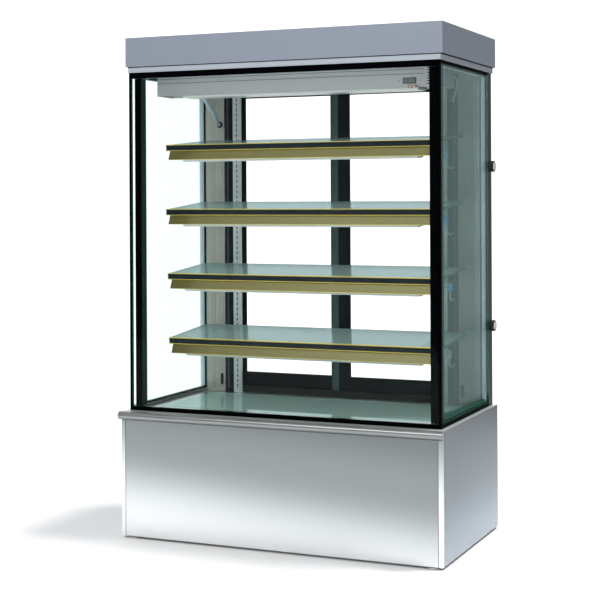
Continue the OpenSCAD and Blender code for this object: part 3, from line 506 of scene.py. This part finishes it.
def piece_of(name, material, draw, body="case", smooth=False):
    """Makes a piece that rides a body and has a slot, from a function that draws its mesh."""
    mesh = bmesh.new()
    draw(mesh)
    bmesh.ops.recalc_face_normals(mesh, faces=mesh.faces)
    data = bpy.data.meshes.new(name)
    mesh.to_mesh(data)
    mesh.free()
    for polygon in data.polygons:
        polygon.use_smooth = smooth
    data.materials.append(material)
    piece = bpy.data.objects.new(name, data)
    bpy.context.collection.objects.link(piece)
    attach(piece, body)
    return piece


def add_box(mesh, low, high, bevel=0.0):
    """Adds a box with rounded edges, given by two corners."""
    low, high = Vector(low), Vector(high)
    made = bmesh.ops.create_cube(mesh, size=1.0)
    centre, size = (low + high) / 2, high - low
    for vertex in made["verts"]:
        vertex.co = Vector(centre[i] + vertex.co[i] * size[i] for i in range(3))
    if bevel > 0:
        edges = {edge for vertex in made["verts"] for edge in vertex.link_edges}
        bmesh.ops.bevel(mesh, geom=list(edges), offset=bevel, segments=2, profile=0.5,
                        affect="EDGES")


def add_box_pair(mesh, low, high, bevel=0.0):
    """Adds a box at the right of the case, and its mirror image at the left."""
    add_box(mesh, (-high[0], low[1], low[2]), (-low[0], high[1], high[2]), bevel)
    add_box(mesh, low, high, bevel)


def add_block(mesh, centre, size, bevel=0.0):
    """Adds a box with rounded edges, given by its centre and size."""
    half = Vector(size) / 2
    add_box(mesh, Vector(centre) - half, Vector(centre) + half, bevel)


def close_rings(mesh, rings):
    """Joins rings of vertices with a wall, and closes both ends."""
    for lower, upper in zip(rings, rings[1:]):
        for k in range(len(lower)):
            nxt = (k + 1) % len(lower)
            mesh.faces.new((lower[k], lower[nxt], upper[nxt], upper[k]))
    mesh.faces.new(list(reversed(rings[0])))
    mesh.faces.new(rings[-1])


def add_prism(mesh, outline, left, right):
    """Adds an outline of (y, z) points drawn out from left to right."""
    close_rings(mesh, [[mesh.verts.new((x, y, z)) for y, z in outline] for x in (left, right)])


def circle(across, upward, radius, count):
    """Points round a circle in the plane of two unit vectors."""
    angles = [2 * math.pi * k / count for k in range(count)]
    return [radius * (across * math.cos(angle) + upward * math.sin(angle)) for angle in angles]


def add_lathe(mesh, profile, place, axis, segments=32):
    """Adds a solid turned from (radius, height) points about an axis through place."""
    turn = Vector((0, 0, 1)).rotation_difference(Vector(axis)).to_matrix()
    across, upward, along = turn.col
    rings = []
    for radius, height in profile:
        middle = Vector(place) + along * height
        rings.append([mesh.verts.new(middle + point)
                      for point in circle(across, upward, radius, segments)])
    close_rings(mesh, rings)


def spline_points(route, steps):
    """Catmull-Rom points through a route."""
    points = []
    last = len(route) - 1
    for i in range(last):
        a, b = Vector(route[max(i - 1, 0)]), Vector(route[i])
        c, d = Vector(route[i + 1]), Vector(route[min(i + 2, last)])
        for k in range(steps):
            t = k / steps
            points.append(0.5 * (2 * b + (c - a) * t + (2 * a - 5 * b + 4 * c - d) * t * t
                                 + (3 * b - a - 3 * c + d) * t ** 3))
    points.append(Vector(route[-1]))
    return points


def add_tube(mesh, route, radius, steps=6, sides=14, ribs=0.0):
    """Adds a smooth round lead along a route, with a ribbed wall if ribs is given."""
    points = spline_points(route, steps)
    rings = []
    normal = None
    for i, point in enumerate(points):
        ahead = points[min(i + 1, len(points) - 1)] - points[max(i - 1, 0)]
        ahead.normalize()
        if normal is None:
            normal = ahead.orthogonal().normalized()
        normal = (normal - ahead * normal.dot(ahead)).normalized()
        swell = radius * (1 + (ribs if i % 2 else 0))
        rings.append([mesh.verts.new(point + offset)
                      for offset in circle(normal, ahead.cross(normal), swell, sides)])
    close_rings(mesh, rings)


def add_screws(mesh, places, axis, radius=0.004, height=0.0016):
    """Adds domed screw heads, each with a sunk middle."""
    dome = [(radius, 0), (radius * 0.96, height * 0.45), (radius * 0.7, height * 0.85),
            (radius * 0.36, height), (radius * 0.30, height * 0.55)]
    for place in places:
        add_lathe(mesh, dome, place, axis, 20)


def sloped(n, x, y, z):
    """The place of a point that is given in shelf n's own frame."""
    return Vector((x - SHELF_SHIFT[n],
                   SHELF_FRONT + y * math.cos(SHELF_SLOPE) - z * math.sin(SHELF_SLOPE),
                   SHELF_Z[n] + y * math.sin(SHELF_SLOPE) + z * math.cos(SHELF_SLOPE)))


def tilt_to_shelf(vertices, n):
    """Moves vertices drawn in shelf n's own frame to their place."""
    for vertex in vertices:
        vertex.co = sloped(n, *vertex.co)


# ---------- Shelves ----------

def build_shelf_trim(n):
    """The dark ticket strip in the rail of shelf n, and the bright stops at its ends."""
    body = f"shelf_{n}"
    strip_end = HALF_SHELF - 0.0004
    stop_x = HALF_SHELF - 0.0015

    def strip(mesh):
        add_box(mesh, (-strip_end, -0.00262, -0.0194), (strip_end, -0.00175, -0.0013), 0.0002)
        tilt_to_shelf(mesh.verts, n)

    def stops(mesh):
        add_box_pair(mesh, (stop_x - 0.0012, -0.0029, -0.0196),
                     (stop_x + 0.0012, -0.0012, -0.0010), 0.0004)
        tilt_to_shelf(mesh.verts, n)

    piece_of(f"ticket_strip_{n}", DARK_INSERT, strip, body)
    piece_of(f"rail_stops_{n}", SCREW_STEEL, stops, body)


def build_lamp_detail():
    """Rolled lips along the lower edges of the shelf lamps."""
    lip_end = 0.5158

    def lips(mesh):
        for n in SHELVES:
            before = set(mesh.verts)
            add_box(mesh, (-lip_end, -0.01315, -0.0546), (lip_end, -0.0112, -0.0528), 0.0006)
            tilt_to_shelf(set(mesh.verts) - before, n)

    piece_of("lamp_lips", MATERIALS["gold_rail"], lips)


# ---------- Leads, plugs and grommets ----------

# Routes in millimetres, as the CAD has them
CONDUIT_LEFT = [(-438, -18.9, 1592), (-438, -2, 1591), (-444, 34, 1577), (-458, 90, 1556),
                (-474, 160, 1531), (-488, 210, 1509), (-496, 234, 1495), (-496, 251.9, 1492)]
CONDUIT_RIGHT = [(468, -19.1, 1640), (470, -2, 1640), (478, 80, 1642), (481, 170, 1641),
                 (481, 222, 1632), (479, 238, 1614), (474, 240, 1590), (467, 238, 1568),
                 (463, 240, 1556), (463, 252.3, 1554)]


def lead_front(shift, plug):
    """The route from a lamp shift millimetres left of the middle to a plug moved likewise."""
    return [(518.6 - shift, -36, -37), (527 - shift, -28, -36), (523 - shift, 0, -36),
            (508 - shift * 0.6, 40, -37), (492 - plug, 75, -38), (486 - plug, 92, -39),
            (486 - plug, 99.6, -39)]


def lead_rear(plug):
    """The route from a plug down and back into the column."""
    return [(486 - plug, 108, -55.1), (486 - plug, 111, -64), (481 - plug * 0.6, 132, -82),
            (474 - plug * 0.3, 172, -93), (466, 210, -95), (463, 236, -92), (463, 251.9, -92)]


def metres(route, lift=0.0):
    """A route in metres, raised by lift."""
    return [(x / 1000, y / 1000, z / 1000 + lift) for x, y, z in route]


def draw_leads(mesh):
    """The four lamps' leads, the ribbed left conduit and the thin right one."""
    for n in SHELVES:
        shift, moved = SHELF_SHIFT[n] * 1000, PLUG_SHIFT[n] * 1000
        add_tube(mesh, metres(lead_front(shift, moved), SHELF_Z[n]), 0.0031)
        add_tube(mesh, metres(lead_rear(moved), SHELF_Z[n]), 0.0031)
    add_tube(mesh, metres(CONDUIT_LEFT), 0.0076, steps=14, sides=18, ribs=0.05)
    add_tube(mesh, metres(CONDUIT_RIGHT), 0.0038, steps=10, sides=16)


def draw_plug(mesh, n):
    """The plug in shelf n's lead: a block with five ribs and a spout below."""
    x, y, z = PLUG_X - PLUG_SHIFT[n], PLUG_Y, SHELF_Z[n] - PLUG_DROP
    rib_pitch = 0.0052
    add_block(mesh, (x, y, z), (0.015, 0.015, 0.029), 0.0016)
    for k in range(5):
        add_block(mesh, (x, y, z - 0.0104 + k * rib_pitch), (0.016, 0.016, 0.0022), 0.0006)
    add_block(mesh, (x, y, z - 0.015), (0.007, 0.007, 0.001), 0.0003)


def draw_grommets(mesh):
    """Round grommets where the leads and conduits enter the columns."""
    seat = COLUMN_FACE - 0.0002
    for n in SHELVES:
        add_lathe(mesh, [(0.0066, 0.0), (0.0069, 0.0012), (0.0061, 0.0028), (0.0044, 0.0034)],
                  (HOLE_X, seat, SHELF_Z[n] - HOLE_DROP), (0, -1, 0), 28)
    for x, z, radius in ((-0.496, 1.492, 0.0120), (HOLE_X, 1.554, 0.0066)):
        add_lathe(mesh, [(radius, 0.0), (radius * 1.05, 0.0014), (radius * 0.92, 0.0034),
                         (radius * 0.68, 0.0042)], (x, seat, z), (0, -1, 0), 28)


def draw_studs(mesh):
    """A clear shelf stud on the right column beside each shelf's rear end."""
    stud = [(0.0052, -0.0002), (0.0062, 0.0016), (0.0056, 0.0085), (0.0044, 0.0128),
            (0.0020, 0.0140)]
    for x, z in ((0.503, 1.4295), (0.507, 1.1985), (0.5185, 0.9578), (0.5175, 0.7176)):
        add_lathe(mesh, stud, (x, COLUMN_FACE, z), (0, -1, 0), 24)


def build_wiring():
    """Smooth leads and ribbed plugs in place of the plain CAD ones, and what they run to."""

    def plugs_blue(mesh):
        for n in SHELVES[:-1]:
            draw_plug(mesh, n)

    def plugs_pale(mesh):
        draw_plug(mesh, SHELVES[-1])

    sleeve = MATERIALS["lead_sleeve"]
    wiring = piece_of("lamp_wiring", sleeve, draw_leads, smooth=True)
    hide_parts("lamp_leads")
    blue = piece_of("plugs_blue", MATERIALS["blue_plug"], plugs_blue)
    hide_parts("lamp_connectors")
    piece_of("plugs_pale", CLEAR_STUD, plugs_pale)
    piece_of("lead_grommets", RUBBER_AND_SHADE, draw_grommets, smooth=True)
    piece_of("column_studs", CLEAR_STUD, draw_studs, smooth=True)


# ---------- Ceiling light ----------

def build_ceiling_folds():
    """Two thin dark beads along the ceiling light's front, for its two folds; their dark colour
    is painted shade.
    """

    def folds(mesh):
        for z in (1.6240, 1.6400):
            add_box(mesh, (LIGHT_LOW.x, LIGHT_LOW.y - 0.0008, z),
                    (0.4810, LIGHT_LOW.y + 0.0002, z + 0.0022), 0.0003)

    piece_of("ceiling_folds", FOLD_SHADE, folds)



# The lit segments of each digit that shows
SEGMENTS = {"0": "abcdef", "4": "fgbc"}


def add_digit(mesh, digit, x, y, z, width, height):
    """Adds a seven segment digit on the face at y, with its lower left corner at x and z."""
    bar, gap, relief = width * 0.2, 0.0002, 0.0002
    middle = height / 2
    places = {
        "a": (0, height - bar, width, height), "d": (0, 0, width, bar),
        "g": (0, middle - bar / 2, width, middle + bar / 2),
        "f": (0, middle, bar, height), "b": (width - bar, middle, width, height),
        "e": (0, 0, bar, middle), "c": (width - bar, 0, width, middle),
    }
    for segment in SEGMENTS[digit]:
        left, foot, right, top = places[segment]
        add_box(mesh, (x + left + gap, y - relief, z + foot + gap),
                (x + right - gap, y, z + top - gap))


def build_thermometer():
    """The window, the digits and the lip of the thermometer."""
    case_y = LCD_LOW.y
    window_y = case_y - 0.0006

    def window(mesh):
        add_box(mesh, (LCD_LOW.x + 0.004, window_y, LCD_LOW.z + 0.003),
                (LCD_HIGH.x - 0.004, case_y, LCD_HIGH.z - 0.003), 0.0002)

    def digits(mesh):
        z = LCD_LOW.z + 0.0058
        for digit, offset in (("0", 0.0120), ("4", 0.0215), ("0", 0.0330)):
            add_digit(mesh, digit, LCD_LOW.x + offset, window_y, z, 0.0062, 0.0088)
        point_x = LCD_LOW.x + 0.0295
        add_box(mesh, (point_x, window_y - 0.0002, z), (point_x + 0.0011, window_y, z + 0.0011))

    def lip(mesh):
        inset, width = 0.0002, 0.0018
        left, right = LCD_LOW.x + inset, LCD_HIGH.x - inset
        foot, top = LCD_LOW.z + inset, LCD_HIGH.z - inset
        front, back = case_y - 0.0009, case_y + 0.0002
        for z in (foot, top - width):
            add_box(mesh, (left, front, z), (right, back, z + width), 0.0005)
        for x in (left, right - width):
            add_box(mesh, (x, front, foot), (x + width, back, top), 0.0005)

    piece_of("lcd_face", LCD_FACE, window)
    piece_of("lcd_digits", LCD_INK, digits)
    piece_of("lcd_frame", LCD_INK, lip)


# Routes of the two sensor wires that hang in front of the thermometer
ORANGE_ROUTE = [(0.424, -0.112, 1.5800), (0.4245, -0.1315, 1.5790), (0.427, -0.1360, 1.5860),
                (0.434, -0.1330, 1.5890), (0.441, -0.1345, 1.5830), (0.447, -0.1310, 1.5780),
                (0.452, -0.112, 1.5790)]
BROWN_ROUTE = [(0.434, -0.112, 1.5790), (0.436, -0.1310, 1.5760), (0.443, -0.1350, 1.5800),
               (0.450, -0.1340, 1.5850), (0.457, -0.1310, 1.5800), (0.460, -0.112, 1.5780)]


def build_ceiling_detail():
    """The screws and end cap of the ceiling light, its sensor wires, and dark pieces behind the
    slots of its bay that paint the shade inside it.
    """
    face = LIGHT_LOW.y
    cap_x = LIGHT_LOW.x - 0.0015
    lcd_z = (LCD_LOW.z + LCD_HIGH.z) / 2

    def screws(mesh):
        beside_lcd = [(LCD_LOW.x - 0.015, face - SEAT, lcd_z),
                      (LCD_HIGH.x + 0.015, face - SEAT, lcd_z)]
        add_screws(mesh, beside_lcd, (0, -1, 0), 0.0034, 0.0018)
        top_row = [(x, face - SEAT, 1.6395) for x in (-0.53, -0.27, 0.0, 0.27)]
        add_screws(mesh, top_row, (0, -1, 0), 0.0026, 0.0012)

    def orange(mesh):
        add_tube(mesh, ORANGE_ROUTE, 0.0013, 5, 10)

    def brown(mesh):
        add_tube(mesh, BROWN_ROUTE, 0.0013, 5, 10)

    def plugs(mesh):
        add_box(mesh, (0.4435, -0.1395, 1.5765), (0.4525, -0.1340, 1.5835), 0.0008)
        add_box(mesh, (0.4550, -0.1365, 1.5735), (0.4620, -0.1300, 1.5790), 0.0008)

    # Dark pieces behind the bay's slots: painted shade of the space inside
    def bay(mesh):
        add_box(mesh, (0.4845, face + 0.0025, 1.5815), (0.5505, face + 0.0045, 1.6540), 0.0004)
        for row in range(7):
            z = 1.5910 + row * 0.009
            for column in range(6):
                x = 0.4925 + column * 0.0098
                add_box(mesh, (x, face + 0.0005, z), (x + 0.0042, face + 0.0030, z + 0.0030),
                        0.0004)

    def end_cap(mesh):
        add_box(mesh, (cap_x, face + 0.001, 1.5792), (LIGHT_LOW.x, -0.0210, 1.6540), 0.0005)
        places = [(cap_x, y, 1.615) for y in (-0.11, -0.04)]
        add_screws(mesh, places, (-1, 0, 0), 0.0030, 0.0012)

    piece_of("ceiling_screws", SCREW_STEEL, screws, smooth=True)
    piece_of("sensor_wire_orange", ORANGE_WIRE, orange, smooth=True)
    piece_of("sensor_wire_brown", BROWN_WIRE, brown, smooth=True)
    piece_of("sensor_plugs", CREAM, plugs)
    piece_of("ballast_bay", BAY_SHADE, bay)
    piece_of("ceiling_end_cap", MATERIALS["lamp_body"], end_cap)


# ---------- Cabinet ----------

# Depth of the beads and the sealant between a side's two panes
BETWEEN_FRONT, BETWEEN_BACK = -0.2245, 0.2400


def draw_beads(mesh):
    """Bright spacer beads up the rear and along the top between the side panes."""
    for y in (0.2545, 0.2405):
        add_box_pair(mesh, (0.5676, y - 0.0012, 0.4705), (0.5784, y + 0.0012, 1.6360), 0.0003)
    add_box_pair(mesh, (0.5676, BETWEEN_FRONT, 1.6362), (0.5784, BETWEEN_BACK, 1.6386), 0.0003)


def draw_fillet(mesh):
    """The green sealant along the foot of the right panes, deepest at the front."""
    outline = [(BETWEEN_FRONT, 0.4700), (BETWEEN_BACK, 0.4700), (BETWEEN_BACK, 0.4780),
               (-0.08, 0.4840), (-0.17, 0.4900), (BETWEEN_FRONT, 0.4960)]
    add_prism(mesh, outline, 0.5680, 0.5780)


def draw_brush(mesh):
    """The brush on the left door's edge that closes the gap to the right door."""
    add_box(mesh, (-0.0372, 0.2856, 0.4680), (-0.0075, 0.2868, 1.6320), 0.0004)


def draw_gaskets(mesh):
    """Gaskets along the inner edges of the front posts."""
    add_box_pair(mesh, (0.5435, -0.2600, 0.4660), (0.5455, -0.2280, 1.6330), 0.0006)


def draw_flutes(mesh):
    """Four fine grooves up each column, drawn as thin dark strips of painted shade."""
    for x in (0.4890, 0.5010, 0.5200, 0.5310):
        add_box_pair(mesh, (x - 0.0007, COLUMN_FACE - 0.0004, STRIP_START),
                     (x + 0.0007, COLUMN_FACE + 0.0001, STRIP_END), 0.0002)


def draw_liners(mesh):
    """Pale liners on the inner faces of the lower side rails."""
    add_box_pair(mesh, (0.5562, -0.2250, 0.4546), (0.5571, 0.2520, 0.4650), 0.0003)


def draw_border(mesh):
    """The thin dark border printed down the front of the right outer pane."""
    add_box(mesh, (0.57884, -0.2612, 0.4656), (0.57896, -0.2235, 1.6425))


def draw_jamb_highlights(mesh):
    """A thin strip up the face of each door jamb, lighter than the jamb: a painted highlight on
    its rounded face.
    """
    add_box_pair(mesh, (0.4580, COLUMN_FACE - 0.0007, STRIP_START),
                 (0.4660, COLUMN_FACE + 0.0002, STRIP_END), 0.0004)


def draw_latches(mesh):
    """A small latch plate with a raised middle at the foot of each column."""
    left, right, rim = 0.4845, 0.4955, 0.0030
    add_box_pair(mesh, (left, COLUMN_FACE - 0.0018, 0.4800),
                 (right, COLUMN_FACE - 0.0001, 0.5220), 0.0008)
    add_box_pair(mesh, (left + rim, COLUMN_FACE - 0.0034, 0.4930),
                 (right - rim, COLUMN_FACE - 0.0016, 0.5090), 0.0006)


def draw_frame_screws(mesh):
    """Screws up the rear posts and along the rear rails."""
    seat = FRAME_BACK + SEAT
    posts = [(x, seat, z) for x in (-0.573, 0.573) for z in (0.56, 0.86, 1.16, 1.46, 1.62)]
    rails = [(x, seat, z) for x in (-0.40, -0.13, 0.13, 0.40) for z in (0.459, 1.644)]
    add_screws(mesh, posts, (0, 1, 0), 0.0036, 0.0016)
    add_screws(mesh, rails, (0, 1, 0), 0.0032, 0.0014)


def build_cabinet_detail():
    """The finer pieces of the glazed cabinet."""
    piece_of("spacer_beads", BRIGHT_BEAD, draw_beads)
    piece_of("sealant_fillet", GREEN_SEALANT, draw_fillet)
    piece_of("brush_seal", BRUSH, draw_brush, "door_left")
    piece_of("post_gaskets", MATERIALS["spacer_black"], draw_gaskets)
    piece_of("column_flutes", FLUTE_SHADE, draw_flutes)
    piece_of("rail_liners", RAIL_LINER, draw_liners)
    piece_of("pane_border", BORDER_INK, draw_border)
    piece_of("jamb_highlights", JAMB_HIGHLIGHT, draw_jamb_highlights)
    piece_of("column_latches", RUBBER_AND_SHADE, draw_latches)
    piece_of("frame_screws", SCREW_STEEL, draw_frame_screws, smooth=True)


# ---------- Doors ----------

def add_outline(mesh, left, right, foot, top, front, back, width, bevel, gap=0.0):
    """Adds four bars round a rectangle. gap keeps the uprights clear of the other two."""
    for z in (foot, top - width):
        add_box(mesh, (left, front, z), (right, back, z + width), bevel)
    for x in (left, right - width):
        add_box(mesh, (x, front, foot + gap), (x + width, back, top - gap), bevel)


def build_door_detail(door, pull_x):
    """Glazing gaskets, corner screws and a lined finger pull, half way across pull_x."""
    low, high = corners(f"{door}_frame")
    glass_low, glass_high = corners(f"{door}_glass")
    side, width = 0.0422, 0.004
    pull_foot, pull_top, pull_half = 1.0005, 1.1195, 0.0105
    wall = 0.002

    def gasket(mesh):
        for y in (low.y + 0.0028, high.y - 0.0034):
            add_outline(mesh, low.x + side, high.x - side, glass_low.z, glass_high.z,
                        y, y + 0.0006, width, 0.0002, width)

    def screws(mesh):
        places = [(x, high.y + SEAT, z) for x in (low.x + 0.021, high.x - 0.021)
                  for z in (0.482, 0.512, 1.604, 1.625)]
        add_screws(mesh, places, (0, 1, 0), 0.0034, 0.0016)

    def cup(mesh):
        add_box(mesh, (pull_x - pull_half, high.y - 0.0058, pull_foot),
                (pull_x + pull_half, high.y - 0.0050, pull_top), 0.0003)
        add_outline(mesh, pull_x - pull_half - wall, pull_x + pull_half + wall,
                    pull_foot - wall, pull_top + wall, high.y - 0.0002, high.y + 0.0008,
                    wall, 0.0005)

    piece_of(f"{door}_gasket", RUBBER_AND_SHADE, gasket, door)
    piece_of(f"{door}_screws", SCREW_STEEL, screws, door, True)
    piece_of(f"{door}_pull_cup", SCREW_STEEL, cup, door)


# ---------- Knobs ----------

def build_knob_detail(knob):
    """A pale end cap, a rim and a dark collar on a thumb knob."""
    low, high = corners(knob)
    y, z = (low.y + high.y) / 2, (low.z + high.z) / 2

    def cap(mesh):
        add_lathe(mesh, [(0.0150, 0.0), (0.0152, 0.0006), (0.0140, 0.0016), (0.0090, 0.0020),
                         (0.0030, 0.0021)], (high.x - 0.0012, y, z), (1, 0, 0), 40)

    def rim(mesh):
        add_lathe(mesh, [(0.0192, 0.0), (0.0194, 0.0006), (0.0188, 0.0012), (0.0162, 0.0012),
                         (0.0157, 0.0002)], (high.x - 0.0003, y, z), (1, 0, 0), 40)

    def collar(mesh):
        add_lathe(mesh, [(0.0092, 0.0), (0.0098, 0.0006), (0.0098, 0.0016), (0.0088, 0.0022)],
                  (0.5856, y, z), (1, 0, 0), 32)

    piece_of(f"{knob}_cap", PALE_CAP, cap, knob, True)
    piece_of(f"{knob}_rim", MATERIALS["knob_black"], rim, knob, True)
    piece_of(f"{knob}_collar", MATERIALS["black_profile"], collar, knob, True)


# ---------- Base and canopy ----------

def build_base_detail():
    """Louvre hoods on the rear panel, screws round the base, and its shadow seams."""

    def hoods(mesh):
        rows, first, row_pitch = 10, 0.064, 0.018
        hood_width, hood_pitch = 0.092, 0.112
        spans = ([-0.280 + k * hood_pitch for k in range(4)]
                 + [0.250 + k * hood_pitch for k in range(2)])
        for row in range(rows):
            z = first + row * row_pitch
            outline = [(BASE_BACK + out, z + up)
                       for out, up in ((0.0002, 0.0016), (0.0042, -0.0010), (0.0052, -0.0042),
                                       (0.0044, -0.0044), (0.0032, -0.0014), (0.0002, 0.0004))]
            for x in spans:
                add_prism(mesh, outline, -x - hood_width, -x)

    def screws(mesh):
        seat = BASE_BACK + SEAT
        back = [(x, seat, z) for x in (-0.585, -0.20, 0.20, 0.585) for z in (0.020, 0.436)]
        back += [(x, seat, 0.228) for x in (-0.585, 0.585)]
        add_screws(mesh, back, (0, 1, 0), 0.0042, 0.0018)
        for side in (-1, 1):
            places = [(side * (BASE_SIDE + SEAT), y, 0.022) for y in (-0.26, 0.0, 0.29)]
            add_screws(mesh, places, (side, 0, 0), 0.0036, 0.0014)

    # Dark strips that paint the shadow in the base's seams
    def seams(mesh):
        add_box(mesh, (-0.5998, PANEL_FACE - 0.0008, 0.4195), (0.5998, PANEL_FACE, 0.4222), 0.0002)
        x = PANEL_EDGE + 0.0003
        add_box_pair(mesh, (x - 0.0008, PANEL_FACE - 0.0004, 0.0095),
                     (x + 0.0008, PANEL_FACE + 0.0002, 0.4200))
        add_box_pair(mesh, (BASE_SIDE - 0.0002, -0.2938, 0.0095),
                     (BASE_SIDE + 0.0004, -0.2922, 0.4480))

    piece_of("rear_louvres", MATERIALS["stainless"], hoods)
    piece_of("base_screws", SCREW_STEEL, screws, smooth=True)
    piece_of("base_seams", RUBBER_AND_SHADE, seams)


def build_canopy_detail():
    """The canopy's rivets and the shadow seam over its trim."""
    foot, top = 1.6730, 1.6762

    # A dark strip that paints the shadow gap under the canopy
    def seam(mesh):
        add_box(mesh, (-0.5885, -0.2768, foot), (0.5885, -0.2754, top), 0.0002)
        add_box_pair(mesh, (0.5878, -0.2754, foot), (0.5888, 0.3225, top), 0.0002)

    def rivets(mesh):
        back = [(x, CANOPY_BACK + SEAT, 1.692) for x in (-0.55, -0.18, 0.18, 0.55)]
        add_screws(mesh, back, (0, 1, 0), 0.0034, 0.0016)
        for side in (-1, 1):
            places = [(side * (CANOPY_SIDE + SEAT), y, 1.690) for y in (-0.20, 0.24)]
            add_screws(mesh, places, (side, 0, 0), 0.0030, 0.0012)

    piece_of("canopy_seam", RUBBER_AND_SHADE, seam)
    piece_of("canopy_rivets", MATERIALS["canopy_trim"], rivets, smooth=True)


for shelf in SHELVES:
    build_shelf_trim(shelf)
build_lamp_detail()
build_wiring()
build_ceiling_folds()
build_thermometer()
build_ceiling_detail()
build_cabinet_detail()
build_door_detail("door_right", 0.427)
build_door_detail("door_left", -0.427)
build_knob_detail("knob_upper")
build_knob_detail("knob_lower")
build_base_detail()
build_canopy_detail()


# ---------- Stage, light and camera ----------

# Strength of the floor's own glow and of the backdrop that the camera sees
FLOOR_GLOW = 0.03
BACKDROP = 1.3
# Brightness of the room that only reflections and soft light see: in front of the case, in
# front of it for mirrored rays, behind it, far to the right, and overhead
ROOM_FRONT = 0.36
ROOM_MIRRORED = 0.10
ROOM_BACK = 1.0
ROOM_RIGHT = 0.30
ROOM_ABOVE = 0.45


def make_floor():
    """A plain pale floor that glows a little."""
    bpy.ops.mesh.primitive_plane_add(size=9, location=(-1.5, -1.8, 0))
    floor = bpy.context.object
    floor.name = "floor"
    material, tree, output = new_material("floor_paper")
    shader = add_node(tree, "ShaderNodeBsdfPrincipled", {
        "Base Color": (0.80, 0.80, 0.80), "Roughness": 0.9, "Specular IOR Level": 0.0,
        "Emission Color": (1, 1, 1), "Emission Strength": FLOOR_GLOW})
    tree.links.new(shader.outputs[0], output.inputs["Surface"])
    floor.data.materials.append(material)


def hang_light(name, light, direction, place=(0, 0, 0)):
    """Puts a light in the scene, with its light coming from a direction."""
    lamp = bpy.data.objects.new(name, light)
    lamp.location = place
    lamp.rotation_euler = Vector(direction).to_track_quat("Z", "Y").to_euler()
    bpy.context.collection.objects.link(lamp)


def area_light(name, place, target, size, power):
    """A soft box of light at a place, turned to a target."""
    light = bpy.data.lights.new(name, "AREA")
    light.shape = "RECTANGLE"
    light.size, light.size_y = size
    light.energy = power
    hang_light(name, light, Vector(place) - Vector(target), place)


def sun_light(name, direction, spread, strength):
    """A soft distant light coming from a direction."""
    light = bpy.data.lights.new(name, "SUN")
    light.energy = strength
    light.angle = math.radians(spread)
    hang_light(name, light, direction)


def room_shade(tree, direction, front):
    """A room's brightness by direction: dim in front and to the right, bright behind."""
    depth = remap(tree, part_of(tree, direction, "Y"), front, ROOM_BACK, -0.6, 0.7)
    right = remap(tree, part_of(tree, direction, "X"), 1.0, ROOM_RIGHT, -0.12, 0.26)
    return math_node(tree, "MULTIPLY", depth, right)


def background(tree, colour, strength):
    """A background shader."""
    node = add_node(tree, "ShaderNodeBackground", {"Color": colour, "Strength": strength})
    return node.outputs[0]


def make_world():
    """A white backdrop for the camera, and a dimmer room that lights and reflects."""
    world = bpy.data.worlds.new("studio")
    world.use_nodes = True
    bpy.context.scene.world = world
    tree = world.node_tree
    tree.nodes.clear()
    room_tint = (0.96, 0.98, 1.0)
    direction = tree.nodes.new("ShaderNodeTexCoord").outputs["Generated"]
    overhead = remap(tree, part_of(tree, direction, "Z"), 0.0, ROOM_ABOVE, 0.5, 0.95)
    lit = math_node(tree, "ADD", room_shade(tree, direction, ROOM_FRONT), overhead)
    mirrored = room_shade(tree, direction, ROOM_MIRRORED)
    path = tree.nodes.new("ShaderNodeLightPath")
    room = mix_shaders(tree, path.outputs["Is Glossy Ray"], background(tree, room_tint, lit),
                       background(tree, room_tint, mirrored))
    shown = mix_shaders(tree, path.outputs["Is Camera Ray"], room,
                        background(tree, (1, 1, 1), BACKDROP))
    output = tree.nodes.new("ShaderNodeOutputWorld")
    tree.links.new(shown, output.inputs["Surface"])


def make_camera():
    """The camera that took the photo, with the shift of its off-centre crop."""
    data = bpy.data.cameras.new("camera")
    data.sensor_width = 36
    data.lens = 83.334
    data.shift_x = -0.05767
    data.shift_y = -0.17117
    data.clip_end = 100
    camera = bpy.data.objects.new("camera", data)
    camera.location = (2.0210, -4.5713, 1.2114)
    yaw, pitch, roll = math.radians(22.837), math.radians(-0.051), math.radians(-0.279)
    turn = (Matrix.Rotation(yaw, 4, "Z") @ Matrix.Rotation(math.radians(90) + pitch, 4, "X")
            @ Matrix.Rotation(roll, 4, "Z"))
    camera.rotation_euler = turn.to_euler()
    bpy.context.collection.objects.link(camera)
    bpy.context.scene.camera = camera


make_floor()
make_world()
make_camera()
sun_light("sun", (0.58, 0.25, 2.3), 10, 2.45)
area_light("front", (-1.2, -4.4, 4.2), (0, 0, 1.2), (3.0, 1.6), 110)
area_light("fill", (1.9, -5.2, 1.7), (-0.2, 0, 1.0), (1.6, 2.0), 60)

scene = bpy.context.scene
scene.view_settings.view_transform = "Standard"
scene.cycles.use_denoising = True
scene.cycles.max_bounces = 10
scene.cycles.transparent_max_bounces = 40
